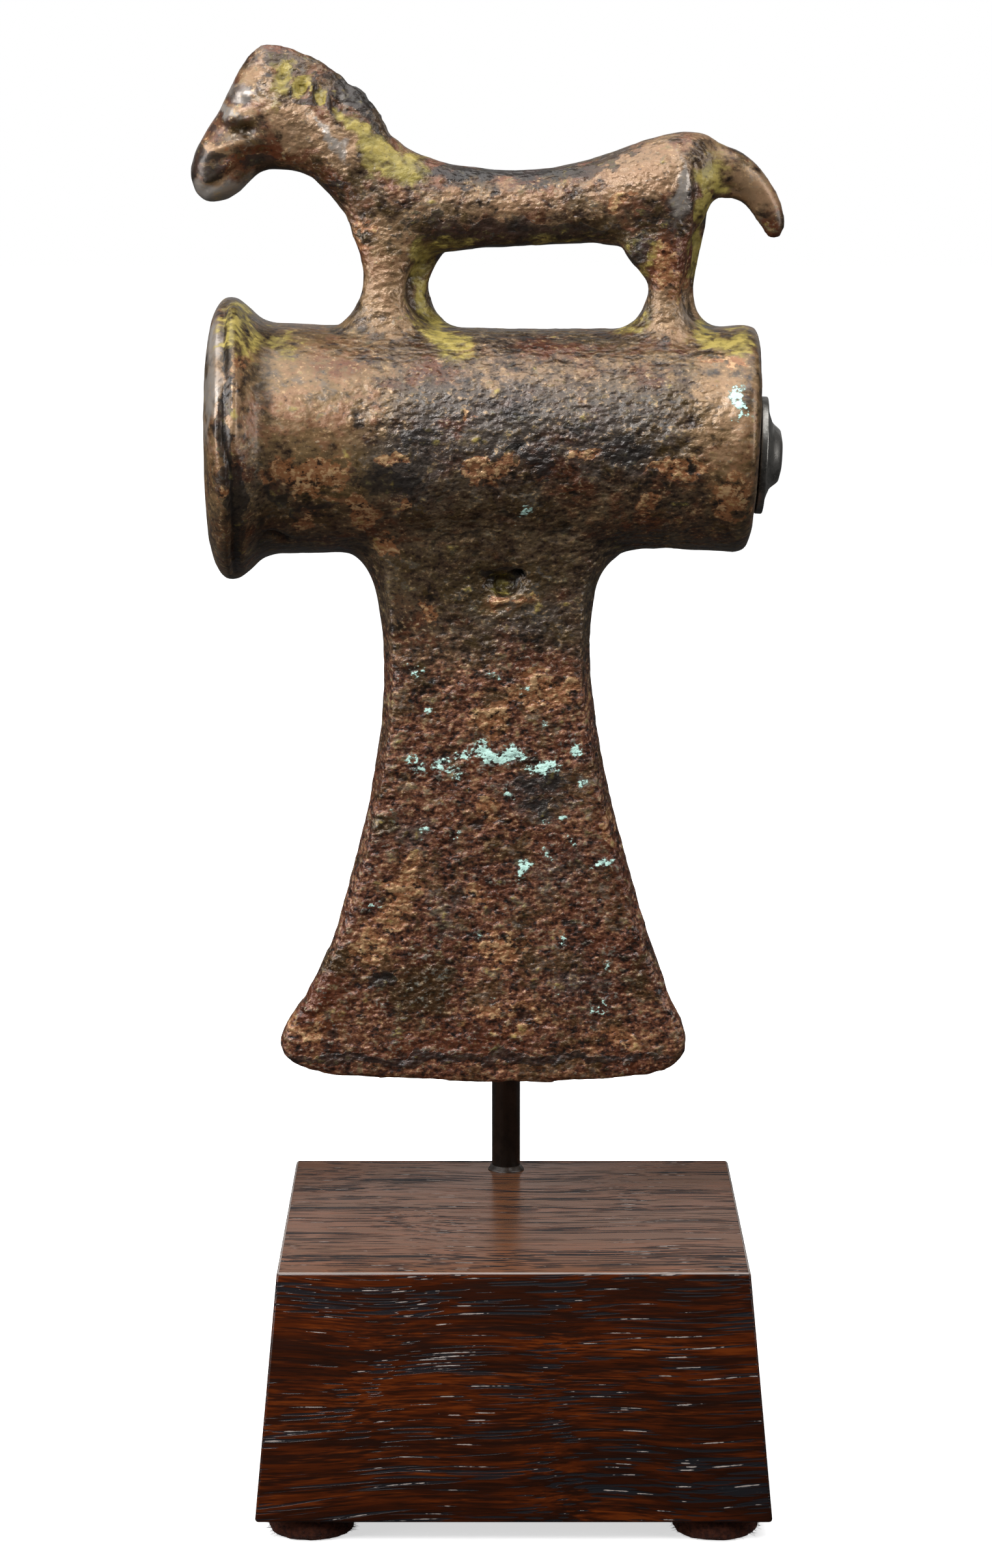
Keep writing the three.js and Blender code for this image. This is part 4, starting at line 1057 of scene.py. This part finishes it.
def rod_shape(settings):
    """The rod as one round bar: up behind the axe, bent along the tube, and bent in to the cap."""
    radius, arm_radius = settings.rod_radius, settings.arm_radius
    bend, arm_bend = settings.rod_bend, settings.arm_bend
    start = Vector((ROD_LOW.x + radius, ROD_HIGH.y - radius, ROD_LOW.z))
    arm_x, arm_z = ROD_HIGH.x - arm_radius, (CAP_LOW.z + CAP_HIGH.z) / 2
    shape = bmesh.new()
    bmesh.ops.create_circle(shape, cap_ends=False, segments=32, radius=radius,
                            matrix=Matrix.Translation(start))
    bmesh.ops.holes_fill(shape, edges=shape.edges[:])
    ends = shape.edges[:]

    def extrude(move, scale=1.0):
        """Carries the open end along in a straight line, and draws it down by a scale."""
        nonlocal ends
        made = bmesh.ops.extrude_edge_only(shape, edges=ends)["geom"]
        points = [item for item in made if isinstance(item, bmesh.types.BMVert)]
        ends = [item for item in made if isinstance(item, bmesh.types.BMEdge)]
        bmesh.ops.translate(shape, vec=move, verts=points)
        middle = sum((point.co for point in points), Vector()) / len(points)
        bmesh.ops.scale(shape, vec=(scale, scale, scale), verts=points,
                        space=Matrix.Translation(-middle))

    def turn(hub, axis):
        """Carries the open end round a quarter turn."""
        nonlocal ends
        geometry = ends + list({point for edge in ends for point in edge.verts})
        made = bmesh.ops.spin(shape, geom=geometry, cent=hub, axis=axis, dvec=(0, 0, 0),
                              angle=math.pi / 2, steps=10, use_merge=False,
                              use_duplicate=False)["geom_last"]
        ends = [item for item in made if isinstance(item, bmesh.types.BMEdge)]

    extrude(Vector((0, 0, arm_z - bend - start.z)))
    turn((start.x + bend, start.y, arm_z - bend), (0, 1, 0))
    run = arm_x - arm_bend - (start.x + bend)
    steps = 8
    for _ in range(steps):
        extrude(Vector((run / steps, 0, 0)), (arm_radius / radius) ** (1 / steps))
    turn((arm_x - arm_bend, start.y - arm_bend, arm_z), (0, 0, -1))
    extrude(Vector((0, ROD_LOW.y - (start.y - arm_bend), 0)))
    bmesh.ops.holes_fill(shape, edges=ends)
    return shape


class AXE_OT_plinth(bpy.types.Operator):
    """Makes the tapered wooden plinth"""

    bl_idname = "axe_stand.plinth"
    bl_label = "Plinth"

    def execute(self, context):
        settings = context.scene.axe_stand
        middle = (PLINTH_LOW + PLINTH_HIGH) / 2
        foot, top = 76.2 * MM, 69.5 * MM
        height = PLINTH_HIGH.z - PLINTH_LOW.z
        shape = bmesh.new()
        bmesh.ops.create_cube(shape, size=1.0)
        bmesh.ops.scale(shape, vec=(foot, foot, height), verts=shape.verts)
        upper = [vert for vert in shape.verts if vert.co.z > 0]
        bmesh.ops.scale(shape, vec=(top / foot, top / foot, 1), verts=upper)
        bmesh.ops.translate(shape, vec=middle, verts=shape.verts)
        bmesh.ops.bevel(shape, geom=shape.edges[:], offset=settings.arris, offset_type="OFFSET", segments=4,
                        profile=0.5, affect="EDGES", material=-1)
        piece = add_piece("wooden_plinth", mesh_from("wooden_plinth", shape), wood_material(settings))
        cutter = bmesh.new()
        wide = settings.rod_radius + 0.3 * MM
        bmesh.ops.create_cone(cutter, cap_ends=True, segments=48, radius1=wide, radius2=wide,
                              depth=2 * settings.socket, matrix=Matrix.Translation(rod_foot(settings)))
        drill = bpy.data.objects.new("drill", mesh_from("drill", cutter))
        context.scene.collection.objects.link(drill)
        hole = piece.modifiers.new("Hole", "BOOLEAN")
        hole.operation = "DIFFERENCE"
        hole.object = drill
        hole.solver = "EXACT"
        with_modifiers(piece)
        bpy.data.objects.remove(drill)
        piece.data.set_sharp_from_angle(angle=math.radians(40))
        declare(piece, "plinth")
        return {"FINISHED"}


class AXE_OT_felt(bpy.types.Operator):
    """Makes the four felt feet, each with its fuzz of loose fibres"""

    bl_idname = "axe_stand.felt"
    bl_label = "Felt Feet"

    def execute(self, context):
        settings = context.scene.axe_stand
        material = felt_material(settings)
        for number, node in enumerate(PADS):
            shape = felt_shape(node, settings, number)
            piece = add_piece(node.replace("felt_pad", "felt_foot"), mesh_from(node, shape), material)
            declare(piece, node)
        return {"FINISHED"}


def felt_shape(node, settings, seed):
    """A soft disc with an uneven edge, and thin fibres standing out of its side."""
    draw = np.random.default_rng(seed)
    low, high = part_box(node)
    middle = Vector(((low.x + high.x) / 2, (low.y + high.y) / 2, 0))
    radius = (high.x - low.x) / 2 - 0.35 * MM
    thickness = PLINTH_LOW.z
    soft = 1.0 * MM
    profile = [(0, 0.15 * MM), (radius * 0.5, 0.1 * MM), (radius * 0.8, 0.1 * MM),
               *arc((radius - soft, soft + 0.1 * MM), soft, -80, 0, 5),
               (radius, thickness - 0.4 * MM), (radius - 0.2 * MM, thickness),
               (radius * 0.5, thickness), (0, thickness)]
    shape = turned(profile, 72, middle, Matrix.Identity(4))
    bmesh.ops.recalc_face_normals(shape, faces=shape.faces)
    for vert in shape.verts:
        out = Vector((vert.co.x - middle.x, vert.co.y - middle.y, 0))
        if out.length > radius * 0.7:
            lump = noise.fractal(vert.co / (1.3 * MM), 1.0, 2.0, 3)
            vert.co += out.normalized() * lump * 0.3 * MM
    for _ in range(700):
        angle = draw.uniform(0, math.tau)
        out = Vector((math.cos(angle), math.sin(angle), 0))
        around = Vector((-out.y, out.x, 0))
        lean = draw.uniform(-1.2, 1.2)
        along = (out + around * lean + Vector((0, 0, draw.uniform(-0.5, 0.35)))).normalized()
        root = middle + out * (radius - 0.25 * MM) + Vector((0, 0, draw.uniform(0.5, 3.3) * MM))
        run = settings.fuzz * draw.uniform(0.5, 1.3)
        add_fibre(shape, root, along, run)
    return shape


def add_fibre(shape, root, along, run):
    """A thin three-sided fibre, tapering to its tip, and not below the floor."""
    turn = Vector((0, 0, 1)).rotation_difference(along).to_matrix().to_4x4()
    made = bmesh.ops.create_cone(
        shape, cap_ends=True, segments=3, radius1=FIBRE, radius2=FIBRE * 0.2, depth=run,
        matrix=Matrix.Translation(root + along * run / 2) @ turn)
    for vert in made["verts"]:
        vert.co.z = max(vert.co.z, 0.1 * MM + abs(vert.co.z) * 0.05)


class AXE_OT_stage(bpy.types.Operator):
    """Makes the camera, the pale floor and the studio's soft lights"""

    bl_idname = "axe_stand.stage"
    bl_label = "Stage"

    def execute(self, context):
        settings = context.scene.axe_stage
        scene = context.scene
        middle = (PLINTH_LOW + PLINTH_HIGH) / 2
        camera = bpy.data.objects.new("camera", bpy.data.cameras.new("camera"))
        scene.collection.objects.link(camera)
        camera.data.lens = settings.lens
        camera.data.sensor_width = 36.0
        camera.location = (middle.x + settings.aside, middle.y - settings.back,
                           PLINTH_LOW.z + settings.above)
        camera.rotation_euler = (math.pi / 2 - settings.pitch, 0, 0)
        scene.camera = camera
        scene.view_settings.view_transform = "Standard"

        shape = bmesh.new()
        bmesh.ops.create_grid(shape, x_segments=1, y_segments=1, size=4.0)
        floor = bpy.data.objects.new("floor", mesh_from("floor", shape))
        scene.collection.objects.link(floor)
        material, tree, shader = new_material("pale_paper")
        away = add_node(tree, "ShaderNodeVectorMath", {"operation": "LENGTH"}, {
            0: add_node(tree, "ShaderNodeTexCoord").outputs["Object"]})
        glow = mask_of(tree, {"away": away.outputs["Value"]}, {"away": 1.0}, (0.06, 0.3), (0.7, 1.15))
        feed(tree, shader, {
            "Base Color": rgba(settings.paper), "Roughness": 0.9, "Specular IOR Level": 0.1,
            "Emission Color": rgba(settings.paper), "Emission Strength": glow})
        floor.data.materials.append(material)
        floor.visible_glossy = False
        floor.visible_diffuse = False

        world = bpy.data.worlds.new("studio")
        scene.world = world
        world.use_nodes = True
        tree = world.node_tree
        tree.nodes.clear()
        seen = add_node(tree, "ShaderNodeLightPath").outputs["Is Camera Ray"]
        soft = add_node(tree, "ShaderNodeBackground", links={"Color": rgba("#ffffff"), "Strength": 0.055})
        white = add_node(tree, "ShaderNodeBackground", links={"Color": rgba("#ffffff"), "Strength": 1.0})
        mix = add_node(tree, "ShaderNodeMixShader", links={
            0: seen, 1: soft.outputs[0], 2: white.outputs[0]})
        add_node(tree, "ShaderNodeOutputWorld", links={"Surface": mix.outputs[0]})

        aim = Vector((middle.x, middle.y, 0.12))
        for name, place, size, power in (
            ("overhead_softbox", (-0.05, -0.10, 0.95), (1.2, 0.9), 9.8),
            ("front_softbox", (-0.35, -0.85, 0.80), (0.35, 0.35), 8.0),
            ("left_softbox", (-0.75, -0.35, 0.35), (0.4, 0.7), 6.0),
            ("right_softbox", (0.7, -0.3, 0.35), (0.3, 0.6), 2.6),
            ("back_panel", (0.0, 0.9, 0.5), (1.6, 0.6), 1.15),
        ):
            light = bpy.data.objects.new(name, bpy.data.lights.new(name, "AREA"))
            scene.collection.objects.link(light)
            light.data.shape = "RECTANGLE"
            light.data.size, light.data.size_y = size
            light.data.energy = power
            light.location = Vector(place) + Vector((middle.x, middle.y, 0))
            light.rotation_euler = (aim - light.location).to_track_quat("-Z", "Y").to_euler()
        return {"FINISHED"}


class AXE_PT_panel(bpy.types.Panel):
    """Lists the pieces in the 3D view's sidebar"""

    bl_idname = "AXE_PT_panel"
    bl_label = "Axe Head on a Stand"
    bl_space_type = "VIEW_3D"
    bl_region_type = "UI"
    bl_category = "Axe"

    def draw(self, context):
        for operator in OPERATORS:
            self.layout.operator(operator.bl_idname)


OPERATORS = (AXE_OT_stage, AXE_OT_casting, AXE_OT_end_cap, AXE_OT_rod, AXE_OT_plinth, AXE_OT_felt)
SETTINGS = {
    "axe_casting": AxeCastingSettings, "axe_stand": AxeStandSettings, "axe_stage": AxeStageSettings}


def register():
    """Registers the settings, the operators and the panel."""
    for cls in (*SETTINGS.values(), *OPERATORS, AXE_PT_panel):
        bpy.utils.register_class(cls)
    for name, group in SETTINGS.items():
        setattr(bpy.types.Scene, name, bpy.props.PointerProperty(type=group))


def unregister():
    """Removes what register added."""
    for name in SETTINGS:
        delattr(bpy.types.Scene, name)
    for cls in (AXE_PT_panel, *reversed(OPERATORS), *reversed(SETTINGS.values())):
        bpy.utils.unregister_class(cls)


def main():
    register()
    for operator in OPERATORS:
        group, name = operator.bl_idname.split(".")
        getattr(getattr(bpy.ops, group), name)()


if __name__ == "__main__":
    main()
